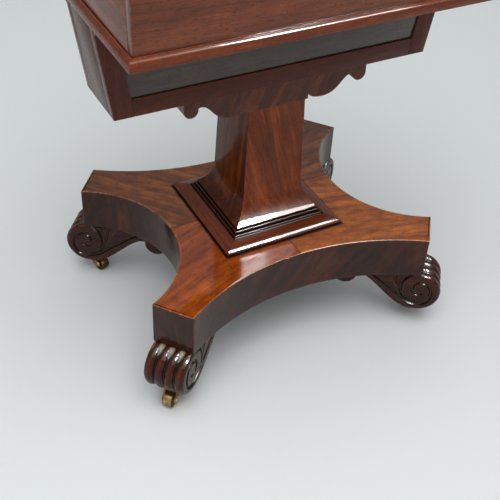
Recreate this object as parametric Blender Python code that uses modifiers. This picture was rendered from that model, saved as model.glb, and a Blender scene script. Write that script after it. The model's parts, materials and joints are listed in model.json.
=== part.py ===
# Work table: a hinged fitted case over a narrow panelled well, on a square column and a
# hollow-sided platform with four reeded scroll feet and brass castors.
# Metres, +Z up, +X to the right along the front, +Y to the back. The origin is on the floor,
# under the middle of the table.

import math

import bmesh
import bpy
from mathutils import Matrix, Vector

# Clearances
GAP = 0.0003                  # between two pieces that touch
WELD = 0.00001                # distance at which doubled points are one

# Platform
PLATFORM_WIDTH = 0.480        # between the outermost points of the canted corners, along X
PLATFORM_DEPTH = 0.392
PLATFORM_THICKNESS = 0.071
FRONT_CHORD = 0.400           # from cant to cant across the front and back hollows
SIDE_CHORD = 0.290            # from cant to cant across the side hollows
FRONT_HOLLOW = 0.059          # depth of the front and back hollows at their middles
SIDE_HOLLOW = 0.0925
HOLLOW_FACETS = 16

# Scroll feet
FOOT_WIDTH = 0.064
SCROLL_RADIUS = 0.0372
SCROLL_SET_BACK = 0.0024      # scroll centre behind the face of the cant
SCROLL_FLAT = 0.0006          # planed off the top of the scroll where it meets the platform
SCROLL_FACETS = 26
REED_COUNT = 4
REED_DEPTH = 0.0042
REED_FACETS = 4
TAIL_SET_IN = 0.001           # tail's side faces behind the scroll's
TAIL_REACH = 0.094            # from the scroll's centre in to the quirk
TAIL_SAG = 0.040              # length over which the tail leaves the scroll's underside
QUIRK_DEPTH = 0.0145          # depth of the foot at the quirk
QUIRK_WIDTH = 0.0065
LOBE_RADIUS = 0.0192
LOBE_DEPTH = 0.0373
CURVE_FACETS = 10
GROOVE_RADIUS = 0.0017        # of the carved line on the foot's sides
GROOVE_BAND = 0.0075          # width of the plain band outside the carved line
SPIRAL_END_RADIUS = 0.0105
SPIRAL_TURNS = 1.6
SPIRAL_FACETS = 14            # in one turn

# Castors
WHEEL_DIAMETER = 0.024
WHEEL_WIDTH = 0.015
WHEEL_CLEARANCE = 0.002       # wheel to fork crown
WHEEL_SIDE_CLEARANCE = 0.0006
WHEEL_TRAIL = 0.017           # swivel axis to wheel axle
WHEEL_EDGE = 0.0015           # rounding of the tread's edges
HUB_RADIUS = 0.0062
HUB_RECESS = 0.0012           # depth of the wheel's side faces behind its rims
CROWN_THICKNESS = 0.0038
CROWN_RADIUS = 0.0085
FORK_CHEEK = 0.0026
CHEEK_BOSS_RADIUS = 0.0052
CHEEK_BOSS_ARC = (-115, 65)   # round of the boss, between the fork's two straight edges
AXLE_RADIUS = 0.002
AXLE_HEAD_RADIUS = 0.0033
AXLE_HEAD = 0.001
PLATE_RADIUS = 0.0115
PLATE_THICKNESS = 0.004
PLATE_SHOW = 0.001            # plate standing below the scroll
PIVOT_RADIUS = 0.003
PIVOT_HEAD_RADIUS = 0.0047
PIVOT_HEAD = 0.0014
STEM_RADIUS = 0.004
STEM_LENGTH = 0.024
CASTOR_FACETS = 20
PIN_FACETS = 10               # of axles, pivots and their bores
TRAIL_ANGLES = {              # direction in which each wheel trails, degrees from +X
    "front_left": 222.0,
    "front_right": 70.0,
    "back_left": 290.0,
    "back_right": 100.0,
}

# Collar and beads round the foot of the column
COLLAR_SIZE = 0.197
COLLAR_UNDERCUT = 0.0025      # collar's foot behind its nosing
COLLAR_NOSE_HEIGHT = 0.0038
COLLAR_SHOULDER = 0.0045      # width of the ovolo above the nosing
COLLAR_SHOULDER_HEIGHT = 0.0036
COLLAR_TOP_SIZE = 0.148
COLLAR_HEIGHT = 0.0115
BEAD_SIZE = 0.1444
BEAD_HEIGHT = 0.0026
UPPER_BEAD_SIZE = 0.1396
UPPER_BEAD_HEIGHT = 0.0044
BEAD_FACETS = 6

# Column
COLUMN_FOOT_SIZE = 0.099      # at the top of the flare
COLUMN_TOP_SIZE = 0.0916
COLUMN_HEIGHT = 0.1860
COLUMN_TOE = 0.0014           # height of the square edge under the flare
FLARE = 0.020
FLARE_HEIGHT = 0.047
FLARE_FACETS = 10
TENON_SIZE = 0.046
LOWER_TENON = 0.050           # length in the platform
UPPER_TENON = 0.020           # length in the bearer

# Bearer between column and well
BEARER_DEPTH = 0.0945
BEARER_LENGTH = 0.2908
BLOCK_WIDTH = 0.0990
BLOCK_HEIGHT = 0.0355
NOTCH = 0.0012                # set-off beside the block
NOTCH_HEIGHT = 0.0069
DROP_OFFSET = 0.0730          # lowest point of the drop, from the middle
DROP_HEIGHT = 0.0364
DROP_FULLNESS = 0.62          # share of the way to the arch over which the drop stays round
ARCH_OFFSET = 0.1205          # top of the arch, from the middle
ARCH_HEIGHT = 0.0100
ARCH_FULLNESS = 0.35          # share of the way to the drop over which the arch stays round
ARCH_QUIRK = 0.0008           # fall of the quirk between arch and pendant
PENDANT_HEIGHT = 0.0240
PENDANT_WIDTH = 0.0216

# Well
WELL_FOOT_WIDTH = 0.489
WELL_DEPTH = 0.0985
WELL_HEIGHT = 0.144
WELL_RAKE_ANGLE = 8.53        # outward lean of the ends, degrees
FRAME_THICKNESS = 0.014
STILE_WIDTH = 0.0288
RAIL_HEIGHT = 0.0266
PANEL_THICKNESS = 0.005
PANEL_RECESS = 0.0018
PANEL_TONGUE = 0.006
WELL_END_THICKNESS = 0.012
WELL_BOTTOM_THICKNESS = 0.012
COVE_SIZE = 0.020
COVE_LIP = 0.004

# Case
CASE_OVERHANG = 0.0019        # case's ends beyond the top of the well
CASE_DEPTH = 0.370
CASE_HEIGHT = 0.150
CASE_WALL = 0.012
CASE_BOTTOM_THICKNESS = 0.010
MOUTH_RIM = 0.012             # bottom board left at each end of the well's mouth
MOULDING_HEIGHT = 0.016
MOULDING_PROJECTION = 0.006
MOULDING_LIP = 0.002
TRAY_HEIGHT = 0.060
TRAY_WALL = 0.005
TRAY_FLOOR = 0.004
TRAY_FIT = 0.0006
TRAY_CELLS = 4

# Lid, hinges and lock
LID_GAP = 0.0006
LID_THICKNESS = 0.022
LID_OVERHANG = 0.009
LID_SQUARE = 0.010            # height of the lid's square edge under its rounded one
LID_ROUND = 0.007
LID_FACETS = 6
HINGE_SPACING = 0.320
HINGE_LENGTH = 0.050
LEAF_WIDTH = 0.0095
LEAF_THICKNESS = 0.0015
KNUCKLE_RADIUS = 0.0028
PIN_RADIUS = 0.0012
LOCK_WIDTH = 0.046
LOCK_HEIGHT = 0.028
LOCK_THICKNESS = 0.0075
LOCK_DROP = 0.0006            # lock's top edge below the rim of the case
HOOK_SPACING = 0.020
HOOK_LENGTH = 0.0055
HOOK_WIDTH = 0.0055
HOOK_THICKNESS = 0.002
HOOK_CLEARANCE = 0.001
LINK_LENGTH = 0.042
LINK_WIDTH = 0.008
LINK_THICKNESS = 0.0014
KEYHOLE_HEIGHT = 0.016        # keyhole's centre below the top of the lock
KEYHOLE_RADIUS = 0.0021
KEYHOLE_SLOT = 0.0022
KEYHOLE_LENGTH = 0.0062
ESCUTCHEON_RADIUS = 0.0105
ESCUTCHEON_THICKNESS = 0.0012
ESCUTCHEON_FACETS = 24

# Levels and lines that several pieces share
CROWN_UNDERSIDE = WHEEL_DIAMETER + WHEEL_CLEARANCE
CROWN_TOP = CROWN_UNDERSIDE + CROWN_THICKNESS
PLATE_UNDERSIDE = CROWN_TOP + GAP
FOOT_BOTTOM = PLATE_UNDERSIDE + PLATE_SHOW
FOOT_HEIGHT = 2 * SCROLL_RADIUS - SCROLL_FLAT
FOOT_TOP = FOOT_BOTTOM + FOOT_HEIGHT
PLATFORM_UNDERSIDE = FOOT_TOP + GAP
PLATFORM_TOP = PLATFORM_UNDERSIDE + PLATFORM_THICKNESS
COLLAR_BASE = PLATFORM_TOP + GAP
BEAD_BASE = COLLAR_BASE + COLLAR_HEIGHT + GAP
COLUMN_BASE = BEAD_BASE + BEAD_HEIGHT + UPPER_BEAD_HEIGHT + GAP
COLUMN_TOP = COLUMN_BASE + COLUMN_HEIGHT
BEARER_TOP = COLUMN_TOP + GAP + BLOCK_HEIGHT
WELL_BASE = BEARER_TOP + GAP
WELL_TOP = WELL_BASE + WELL_HEIGHT
CASE_BASE = WELL_TOP + GAP
CASE_TOP = CASE_BASE + CASE_HEIGHT
CASE_FLOOR = CASE_BASE + CASE_BOTTOM_THICKNESS
LID_BASE = CASE_TOP + LID_GAP
WELL_TOP_WIDTH = WELL_FOOT_WIDTH + 2 * WELL_HEIGHT * math.tan(math.radians(WELL_RAKE_ANGLE))
CASE_WIDTH = WELL_TOP_WIDTH + 2 * CASE_OVERHANG
CASE_BACK = CASE_DEPTH / 2
HINGE_LINE = Vector((0.0, CASE_BACK + GAP + KNUCKLE_RADIUS, CASE_TOP + LID_GAP / 2))
WELL_INSIDE = WELL_DEPTH / 2 - FRAME_THICKNESS
FORK_SLOT = WHEEL_WIDTH + 2 * WHEEL_SIDE_CLEARANCE
FORK_WIDTH = FORK_SLOT + 2 * FORK_CHEEK
WHEEL_RADIUS = WHEEL_DIAMETER / 2
CANT_NORMAL = math.atan2(PLATFORM_WIDTH - FRONT_CHORD, PLATFORM_DEPTH - SIDE_CHORD)
CORNERS = {
    "front_left": (-1, -1),
    "front_right": (1, -1),
    "back_left": (-1, 1),
    "back_right": (1, 1),
}

# Finishes: colour, roughness, metallic
MAHOGANY = ((0.100, 0.030, 0.013), 0.22, 0.0)
DARK_MAHOGANY = ((0.045, 0.016, 0.009), 0.26, 0.0)
PANEL_STAIN = ((0.040, 0.034, 0.032), 0.20, 0.0)
CEDAR = ((0.190, 0.085, 0.040), 0.55, 0.0)
BRASS = ((0.420, 0.270, 0.090), 0.34, 1.0)


# Scene helpers

def new_collection(name):
    collection = bpy.data.collections.new(name)
    bpy.context.scene.collection.children.link(collection)
    return collection


def add_part(name, mesh, finish, location=(0, 0, 0), turn=0.0, parent=None):
    colour, roughness, metallic = finish
    material = bpy.data.materials.new(name + "_finish")
    material.use_nodes = True
    shader = material.node_tree.nodes["Principled BSDF"]
    shader.inputs["Base Color"].default_value = (*colour, 1.0)
    shader.inputs["Roughness"].default_value = roughness
    shader.inputs["Metallic"].default_value = metallic
    part = bpy.data.objects.new(name, mesh.copy())
    part.data.name = name
    part.data.materials.clear()
    part.data.materials.append(material)
    part.location = location
    part.rotation_euler.z = turn
    part.parent = parent
    parts.objects.link(part)
    return part


def add_cutter(name, mesh, location=(0, 0, 0), parent=None):
    cutter = bpy.data.objects.new(name, mesh)
    cutter.location = location
    cutter.parent = parent
    cutter.hide_render = True
    cutter.display_type = "WIRE"
    cutters.objects.link(cutter)
    return cutter


def add_pivot(name, location, turn=0.0, parent=None):
    pivot = bpy.data.objects.new(name, None)
    pivot.location = location
    pivot.rotation_euler.z = turn
    pivot.parent = parent
    parts.objects.link(pivot)
    return pivot


def boolean(target, tool, operation="DIFFERENCE"):
    modifier = target.modifiers.new(operation.title(), "BOOLEAN")
    modifier.operation = operation
    modifier.solver = "EXACT"
    modifier.object = tool


def baked(obj):
    bpy.context.view_layer.update()
    shape = obj.evaluated_get(bpy.context.evaluated_depsgraph_get())
    mesh = bpy.data.meshes.new_from_object(shape)
    body = bmesh.new()
    body.from_mesh(mesh)
    bmesh.ops.remove_doubles(body, verts=body.verts, dist=WELD)
    bmesh.ops.recalc_face_normals(body, faces=body.faces)
    body.to_mesh(mesh)
    body.free()
    return mesh


def baked_data(name, data, modify=None):
    obj = bpy.data.objects.new(name, data)
    bpy.context.scene.collection.objects.link(obj)
    if modify:
        modify(obj)
    mesh = baked(obj)
    bpy.data.objects.remove(obj, do_unlink=True)
    return mesh


def rounded(mesh, angle=35.0):
    mesh.shade_smooth()
    mesh.set_sharp_from_angle(angle=math.radians(angle))
    return mesh


# Shape helpers

def box(low, high):
    low, high = Vector(low), Vector(high)
    body = bmesh.new()
    scale = Matrix.Diagonal((*(high - low), 1.0))
    bmesh.ops.create_cube(body, size=1.0, matrix=Matrix.Translation((low + high) / 2) @ scale)
    mesh = bpy.data.meshes.new("box")
    body.to_mesh(mesh)
    body.free()
    return mesh


def slab(outline, thickness):
    # The outline lies in XY and the thickness is shared between +Z and -Z.
    curve = bpy.data.curves.new("outline", "CURVE")
    curve.dimensions = "2D"
    curve.fill_mode = "BOTH"
    curve.extrude = thickness / 2
    spline = curve.splines.new("POLY")
    spline.points.add(len(outline) - 1)
    for point, (u, v) in zip(spline.points, outline):
        point.co = (u, v, 0.0, 1.0)
    spline.use_cyclic_u = True
    return baked_data("slab", curve)


def upright(outline, depth):
    # The outline lies in XZ and the depth is shared between +Y and -Y.
    mesh = slab(outline, depth)
    mesh.transform(Matrix.Rotation(math.pi / 2, 4, "X"))
    return mesh


def turned(profile, facets, closed=False):
    # The profile runs down its outer side. A closed one leaves a bore.
    points = [(radius, 0.0, height) for radius, height in profile]
    edges = [(i, i + 1) for i in range(len(points) - 1)]
    if closed:
        edges.append((len(points) - 1, 0))
    mesh = bpy.data.meshes.new("profile")
    mesh.from_pydata(points, edges, [])

    def screw(obj):
        modifier = obj.modifiers.new("Turn", "SCREW")
        modifier.axis = "Z"
        modifier.steps = facets
        modifier.render_steps = facets
        modifier.use_merge_vertices = True
        modifier.merge_threshold = WELD

    return baked_data("turned", mesh, screw)


def squared(profile, stretch=0.0, closed=False):
    # A four-sided turning with mitred corners, whose radii are half widths along Y;
    # stretch lengthens it along X.
    mesh = turned([(half * math.sqrt(2), height) for half, height in profile], 4, closed)
    mesh.transform(Matrix.Rotation(math.pi / 4, 4, "Z"))
    for vertex in mesh.vertices:
        if abs(vertex.co.x) > WELD:
            vertex.co.x += math.copysign(stretch, vertex.co.x)
    return mesh


def arc(centre, radius, start, end, facets):
    angles = [math.radians(start + (end - start) * i / facets) for i in range(facets + 1)]
    return [(centre[0] + radius * math.cos(a), centre[1] + radius * math.sin(a)) for a in angles]


def bezier(p0, p1, p2, p3, facets):
    points = []
    for i in range(facets + 1):
        t = i / facets
        weights = ((1 - t) ** 3, 3 * t * (1 - t) ** 2, 3 * t * t * (1 - t), t ** 3)
        points.append(tuple(sum(w * p[k] for w, p in zip(weights, (p0, p1, p2, p3))) for k in (0, 1)))
    return points


def hollow(start, end, depth, facets):
    # Points of a concave arc from start to end, bowed towards the left of that line.
    start, end = Vector(start), Vector(end)
    half = (end - start).length / 2
    along = (end - start).normalized()
    inward = Vector((-along.y, along.x))
    radius = (half * half + depth * depth) / (2 * depth)
    sweep = math.asin(half / radius)
    middle = (start + end) / 2 + inward * (depth - radius)
    points = []
    for i in range(facets + 1):
        angle = sweep * (2 * i / facets - 1)
        points.append(tuple(middle + along * radius * math.sin(angle) + inward * radius * math.cos(angle)))
    return points


# Platform

def make_platform():
    x, y = PLATFORM_WIDTH / 2, PLATFORM_DEPTH / 2
    front, side = FRONT_CHORD / 2, SIDE_CHORD / 2
    outline = hollow((-front, -y), (front, -y), FRONT_HOLLOW, HOLLOW_FACETS)
    outline += hollow((x, -side), (x, side), SIDE_HOLLOW, HOLLOW_FACETS)
    outline += hollow((front, y), (-front, y), FRONT_HOLLOW, HOLLOW_FACETS)
    outline += hollow((-x, side), (-x, -side), SIDE_HOLLOW, HOLLOW_FACETS)
    middle = (PLATFORM_UNDERSIDE + PLATFORM_TOP) / 2
    platform = add_part("platform", slab(outline, PLATFORM_THICKNESS), MAHOGANY, (0, 0, middle))
    boolean(platform, mortise("platform_mortise", PLATFORM_TOP - LOWER_TENON, PLATFORM_TOP))


def mortise(name, low, high):
    half = TENON_SIZE / 2 + GAP
    return add_cutter(name, box((-half, -half, low - GAP), (half, half, high + GAP)))


# Scroll feet: local +X points out along the diagonal, local z = 0 is the seat under the platform

SCROLL_CENTRE = (-SCROLL_SET_BACK, SCROLL_FLAT - SCROLL_RADIUS)


def tail_line(lift):
    # The ogee under the tail, from the scroll's underside in to the quirk, raised by lift.
    bottom = -FOOT_HEIGHT + lift
    quirk = -QUIRK_DEPTH + min(lift, QUIRK_DEPTH / 2)
    x = SCROLL_CENTRE[0]
    middle = x - (TAIL_REACH + TAIL_SAG) / 2
    return bezier((x, bottom), (x - TAIL_SAG, bottom), (middle, quirk - QUIRK_DEPTH / 2),
                  (x - TAIL_REACH, quirk), CURVE_FACETS)


def bracket_outline():
    x = SCROLL_CENTRE[0]
    outer = x - TAIL_REACH - QUIRK_WIDTH
    lobe = (outer - LOBE_RADIUS, LOBE_RADIUS - LOBE_DEPTH)
    crest = SCROLL_RADIUS / 4
    outline = [(x, crest), (x, SCROLL_CENTRE[1])] + tail_line(0.0)[1:]
    outline += [(outer, -QUIRK_DEPTH)]
    outline += arc(lobe, LOBE_RADIUS, 0, -180, CURVE_FACETS)
    outline += [(outer - 2 * LOBE_RADIUS, crest)]
    return outline


def reed_profile():
    pitch = FOOT_WIDTH / REED_COUNT
    profile = [(0.0, FOOT_WIDTH / 2)]
    for reed in range(REED_COUNT):
        middle = FOOT_WIDTH / 2 - pitch * (reed + 0.5)
        for i in range(REED_FACETS + 1):
            swing = math.pi * i / REED_FACETS
            if reed and not i:
                continue
            rise = REED_DEPTH * (math.sin(swing) - 1)
            profile.append((SCROLL_RADIUS + rise, middle + pitch / 2 * math.cos(swing)))
    profile.append((0.0, -FOOT_WIDTH / 2))
    return profile


def spiral_line():
    # Starts on the tail's band, passes under the scroll and winds in to the eye.
    lead = [p for p in reversed(tail_line(GROOVE_BAND)) if p[0] < SCROLL_CENTRE[0] - TAIL_SAG / 2]
    start = SCROLL_RADIUS - REED_DEPTH - GROOVE_BAND / 2
    turns = [(-90 + 360 * i / SPIRAL_FACETS) for i in range(int(SPIRAL_TURNS * SPIRAL_FACETS) + 1)]
    wind = []
    for i, angle in enumerate(turns):
        radius = start + (SPIRAL_END_RADIUS - start) * i / (len(turns) - 1)
        wind.append((SCROLL_CENTRE[0] + radius * math.cos(math.radians(angle)),
                     SCROLL_CENTRE[1] + radius * math.sin(math.radians(angle))))
    return lead + wind


def groove(side):
    curve = bpy.data.curves.new("groove", "CURVE")
    curve.dimensions = "3D"
    curve.bevel_depth = GROOVE_RADIUS
    curve.bevel_resolution = 1
    curve.use_fill_caps = True
    line = spiral_line()
    spline = curve.splines.new("POLY")
    spline.points.add(len(line) - 1)
    for point, (u, v) in zip(spline.points, line):
        point.co = (u, side * FOOT_WIDTH / 2, v, 1.0)
    return baked_data("groove", curve)


def castor_socket():
    # The stem's hole and the recess for its plate, bored up from the scroll's underside.
    bottom = -FOOT_HEIGHT - PLATE_SHOW
    plate_top = bottom + PLATE_THICKNESS + GAP
    stem_top = bottom + PLATE_THICKNESS + STEM_LENGTH + GAP
    below = bottom - PLATE_THICKNESS
    profile = [(0.0, stem_top), (STEM_RADIUS + GAP, stem_top), (STEM_RADIUS + GAP, plate_top),
               (PLATE_RADIUS + GAP, plate_top), (PLATE_RADIUS + GAP, below), (0.0, below)]
    mesh = turned(profile, CASTOR_FACETS)
    mesh.transform(Matrix.Translation((SCROLL_CENTRE[0], 0, 0)))
    return mesh


def foot_mesh():
    drum = turned(reed_profile(), SCROLL_FACETS)
    drum.transform(Matrix.Rotation(math.pi / 2, 4, "X"))
    drum.transform(Matrix.Translation((SCROLL_CENTRE[0], 0, SCROLL_CENTRE[1])))
    reach = TAIL_REACH + 2 * LOBE_RADIUS + QUIRK_WIDTH + SCROLL_RADIUS
    waste = box((-2 * reach, -FOOT_WIDTH, 0), (2 * reach, FOOT_WIDTH, 2 * SCROLL_RADIUS))
    tools = [("UNION", drum), ("DIFFERENCE", waste), ("DIFFERENCE", castor_socket()),
             ("DIFFERENCE", groove(-1)), ("DIFFERENCE", groove(1))]
    blank = bpy.data.objects.new("foot", upright(bracket_outline(), FOOT_WIDTH - 2 * TAIL_SET_IN))
    bpy.context.scene.collection.objects.link(blank)
    held = [add_cutter("foot_tool", mesh) for _, mesh in tools]
    for (operation, _), tool in zip(tools, held):
        boolean(blank, tool, operation)
    mesh = baked(blank)
    for obj in [blank] + held:
        bpy.data.objects.remove(obj, do_unlink=True)
    return rounded(mesh)


def foot_seat(corner):
    # Middle of the cant and the direction in which the foot points.
    sx, sy = CORNERS[corner]
    x = sx * (PLATFORM_WIDTH + FRONT_CHORD) / 4
    y = sy * (PLATFORM_DEPTH + SIDE_CHORD) / 4
    turn = math.atan2(sy * math.sin(CANT_NORMAL), sx * math.cos(CANT_NORMAL))
    return Vector((x, y, 0)), turn


def make_feet():
    mesh = foot_mesh()
    for corner in CORNERS:
        seat, turn = foot_seat(corner)
        add_part("foot_" + corner, mesh, DARK_MAHOGANY, seat + Vector((0, 0, FOOT_TOP)), turn)


# Castors

def stem_mesh():
    # Stem, plate, pivot and riveted head, from the top down; z = 0 is the plate's underside.
    plate = PLATE_THICKNESS
    top = plate + STEM_LENGTH
    head = CROWN_UNDERSIDE - GAP - PLATE_UNDERSIDE
    foot = head - PIVOT_HEAD
    profile = [(0, top), (STEM_RADIUS, top), (STEM_RADIUS, plate), (PLATE_RADIUS, plate), (PLATE_RADIUS, 0),
               (PIVOT_RADIUS, 0), (PIVOT_RADIUS, head), (PIVOT_HEAD_RADIUS, head),
               (PIVOT_HEAD_RADIUS - PIVOT_HEAD / 2, foot), (0, foot)]
    return rounded(turned(profile, PIN_FACETS))


def cheek_outline():
    # Side of the fork: crown over the pivot at x = 0, boss round the axle.
    boss = arc((WHEEL_TRAIL, WHEEL_RADIUS), CHEEK_BOSS_RADIUS, *CHEEK_BOSS_ARC, CURVE_FACETS)
    shoulder = (CROWN_RADIUS, CROWN_TOP)
    return [(-CROWN_RADIUS, CROWN_TOP), (-CROWN_RADIUS, CROWN_UNDERSIDE)] + boss + [shoulder]


def fork_parts(name, pivot):
    fork = add_part("castor_fork_" + name, upright(cheek_outline(), FORK_WIDTH), BRASS, parent=pivot)
    reach = WHEEL_TRAIL + WHEEL_DIAMETER
    slot = box((-reach, -FORK_SLOT / 2, -WHEEL_RADIUS), (reach, FORK_SLOT / 2, CROWN_UNDERSIDE))
    bore_low, bore_high = CROWN_UNDERSIDE - CROWN_THICKNESS, CROWN_TOP + CROWN_THICKNESS
    bore = turned([(0, bore_high), (PIVOT_RADIUS + GAP, bore_high), (PIVOT_RADIUS + GAP, bore_low),
                   (0, bore_low)], PIN_FACETS)
    axle_hole = turned([(0, FORK_WIDTH), (AXLE_RADIUS + GAP, FORK_WIDTH), (AXLE_RADIUS + GAP, -FORK_WIDTH),
                        (0, -FORK_WIDTH)], PIN_FACETS)
    axle_hole.transform(Matrix.Rotation(math.pi / 2, 4, "X"))
    axle_hole.transform(Matrix.Translation((WHEEL_TRAIL, 0, WHEEL_RADIUS)))
    for label, mesh in (("slot", slot), ("bore", bore), ("axle_hole", axle_hole)):
        boolean(fork, add_cutter("fork_" + label + "_" + name, mesh, parent=pivot))


def axle_mesh():
    half = FORK_WIDTH / 2 + GAP
    end = half + AXLE_HEAD
    bevel = AXLE_HEAD / 2
    profile = [(0, end), (AXLE_HEAD_RADIUS - bevel, end), (AXLE_HEAD_RADIUS, half), (AXLE_RADIUS, half),
               (AXLE_RADIUS, -half), (AXLE_HEAD_RADIUS, -half), (AXLE_HEAD_RADIUS - bevel, -end), (0, -end)]
    mesh = turned(profile, PIN_FACETS)
    mesh.transform(Matrix.Rotation(math.pi / 2, 4, "X"))
    return rounded(mesh)


def wheel_mesh():
    half = WHEEL_WIDTH / 2
    bore = AXLE_RADIUS + GAP
    rim = WHEEL_RADIUS - WHEEL_EDGE
    dish = half - HUB_RECESS
    upper = [(bore, half), (HUB_RADIUS, half), (HUB_RADIUS, dish), (rim - WHEEL_EDGE, dish),
             (rim - WHEEL_EDGE / 2, half), (rim, half), (WHEEL_RADIUS, half - WHEEL_EDGE)]
    lower = [(radius, -height) for radius, height in reversed(upper)]
    mesh = turned(upper + lower, CASTOR_FACETS, closed=True)
    mesh.transform(Matrix.Rotation(math.pi / 2, 4, "X"))
    return rounded(mesh)


def make_castors():
    stem, axle, wheel = stem_mesh(), axle_mesh(), wheel_mesh()
    for corner in CORNERS:
        seat, turn = foot_seat(corner)
        seat += Vector((math.cos(turn), math.sin(turn), 0)) * SCROLL_CENTRE[0]
        add_part("castor_stem_" + corner, stem, BRASS, seat + Vector((0, 0, PLATE_UNDERSIDE)))
        pivot = add_pivot("castor_pivot_" + corner, seat, math.radians(TRAIL_ANGLES[corner]))
        fork_parts(corner, pivot)
        hub = Vector((WHEEL_TRAIL, 0, WHEEL_RADIUS))
        add_part("castor_axle_" + corner, axle, BRASS, hub, parent=pivot)
        add_part("castor_wheel_" + corner, wheel, BRASS, hub, parent=pivot)


# Collar, beads and column

def make_collar():
    bore = TENON_SIZE / 2 + GAP
    half, top = COLLAR_SIZE / 2, COLLAR_TOP_SIZE / 2
    nose, rise = COLLAR_NOSE_HEIGHT, COLLAR_SHOULDER_HEIGHT
    shoulder = []
    for i in range(BEAD_FACETS + 1):
        swing = math.pi / 2 * i / BEAD_FACETS
        shoulder.append((half - COLLAR_SHOULDER * (1 - math.sin(swing)), nose + rise * math.cos(swing)))
    profile = [(bore, COLLAR_HEIGHT), (top, COLLAR_HEIGHT)] + shoulder
    profile += [(half - COLLAR_UNDERCUT, 0), (bore, 0)]
    add_part("collar", squared(profile, closed=True), DARK_MAHOGANY, (0, 0, COLLAR_BASE))


def half_round(half, low, height):
    # Points down a bead that stands out by half its height.
    bulge = height / 2
    points = []
    for i in range(BEAD_FACETS + 1):
        swing = math.pi / 2 - math.pi * i / BEAD_FACETS
        points.append((half - bulge * (1 - math.cos(swing)), low + bulge * (1 + math.sin(swing))))
    return points


def make_beads():
    bore = TENON_SIZE / 2 + GAP
    top = BEAD_HEIGHT + UPPER_BEAD_HEIGHT
    profile = [(bore, top)] + half_round(UPPER_BEAD_SIZE / 2, BEAD_HEIGHT, UPPER_BEAD_HEIGHT)
    profile += half_round(BEAD_SIZE / 2, 0, BEAD_HEIGHT) + [(bore, 0)]
    add_part("column_beads", squared(profile, closed=True), DARK_MAHOGANY, (0, 0, BEAD_BASE))


def make_column():
    foot, top = COLUMN_FOOT_SIZE / 2, COLUMN_TOP_SIZE / 2
    tenon = TENON_SIZE / 2
    flare = []
    for i in range(FLARE_FACETS + 1):
        share = 1 - i / FLARE_FACETS
        flare.append((foot + FLARE * (1 - share) ** 2, COLUMN_TOE + FLARE_HEIGHT * share))
    upper = COLUMN_HEIGHT + UPPER_TENON
    lower = PLATFORM_TOP - LOWER_TENON - COLUMN_BASE
    profile = [(0, upper), (tenon, upper), (tenon, COLUMN_HEIGHT), (top, COLUMN_HEIGHT)] + flare
    profile += [(foot + FLARE, 0), (tenon, 0), (tenon, lower), (0, lower)]
    add_part("column", squared(profile), MAHOGANY, (0, 0, COLUMN_BASE))


# Bearer: z = 0 is its top

def bearer_half():
    block = BLOCK_WIDTH / 2
    end = BEARER_LENGTH / 2
    notch = (block + NOTCH, NOTCH_HEIGHT - BLOCK_HEIGHT)
    drop = (DROP_OFFSET, -DROP_HEIGHT)
    arch = (ARCH_OFFSET, -ARCH_HEIGHT)
    belly = DROP_OFFSET - notch[0]
    rise = ARCH_OFFSET - DROP_OFFSET
    half = [(block, -BLOCK_HEIGHT), (block, notch[1])]
    half += bezier(notch, (notch[0] + belly / 8, notch[1] - (DROP_HEIGHT + notch[1]) * 2 / 3),
                   (drop[0] - belly / 2, drop[1]), drop, CURVE_FACETS)
    half += bezier(drop, (drop[0] + rise * DROP_FULLNESS, drop[1]),
                   (arch[0] - rise * ARCH_FULLNESS, arch[1]), arch, CURVE_FACETS)[1:]
    radius = PENDANT_WIDTH / 2
    pendant = arc((end - radius, radius - PENDANT_HEIGHT), radius, 180, 360, CURVE_FACETS)
    return half + [(end - PENDANT_WIDTH, -ARCH_HEIGHT - ARCH_QUIRK)] + pendant + [(end, 0)]


def make_bearer():
    right = bearer_half()
    left = [(-x, z) for x, z in reversed(right)]
    bearer = add_part("bearer", upright(left + right, BEARER_DEPTH), DARK_MAHOGANY, (0, 0, BEARER_TOP))
    cutter = mortise("bearer_mortise", -BLOCK_HEIGHT - GAP, UPPER_TENON - BLOCK_HEIGHT)
    cutter.location.z = BEARER_TOP
    boolean(bearer, cutter)


# Well: heights are measured up from its foot

def well_edge(height):
    return WELL_FOOT_WIDTH / 2 + height * math.tan(math.radians(WELL_RAKE_ANGLE))


def well_outline(low, high, inset):
    # A piece between the two sloping ends, inset from their outer faces.
    return [(-well_edge(low) + inset, low), (well_edge(low) - inset, low),
            (well_edge(high) - inset, high), (-well_edge(high) + inset, high)]


def sloped_post(width, side):
    post = [(well_edge(0) - width, 0), (well_edge(0), 0),
            (well_edge(WELL_HEIGHT), WELL_HEIGHT), (well_edge(WELL_HEIGHT) - width, WELL_HEIGHT)]
    return post if side > 0 else [(-x, z) for x, z in reversed(post)]


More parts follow.
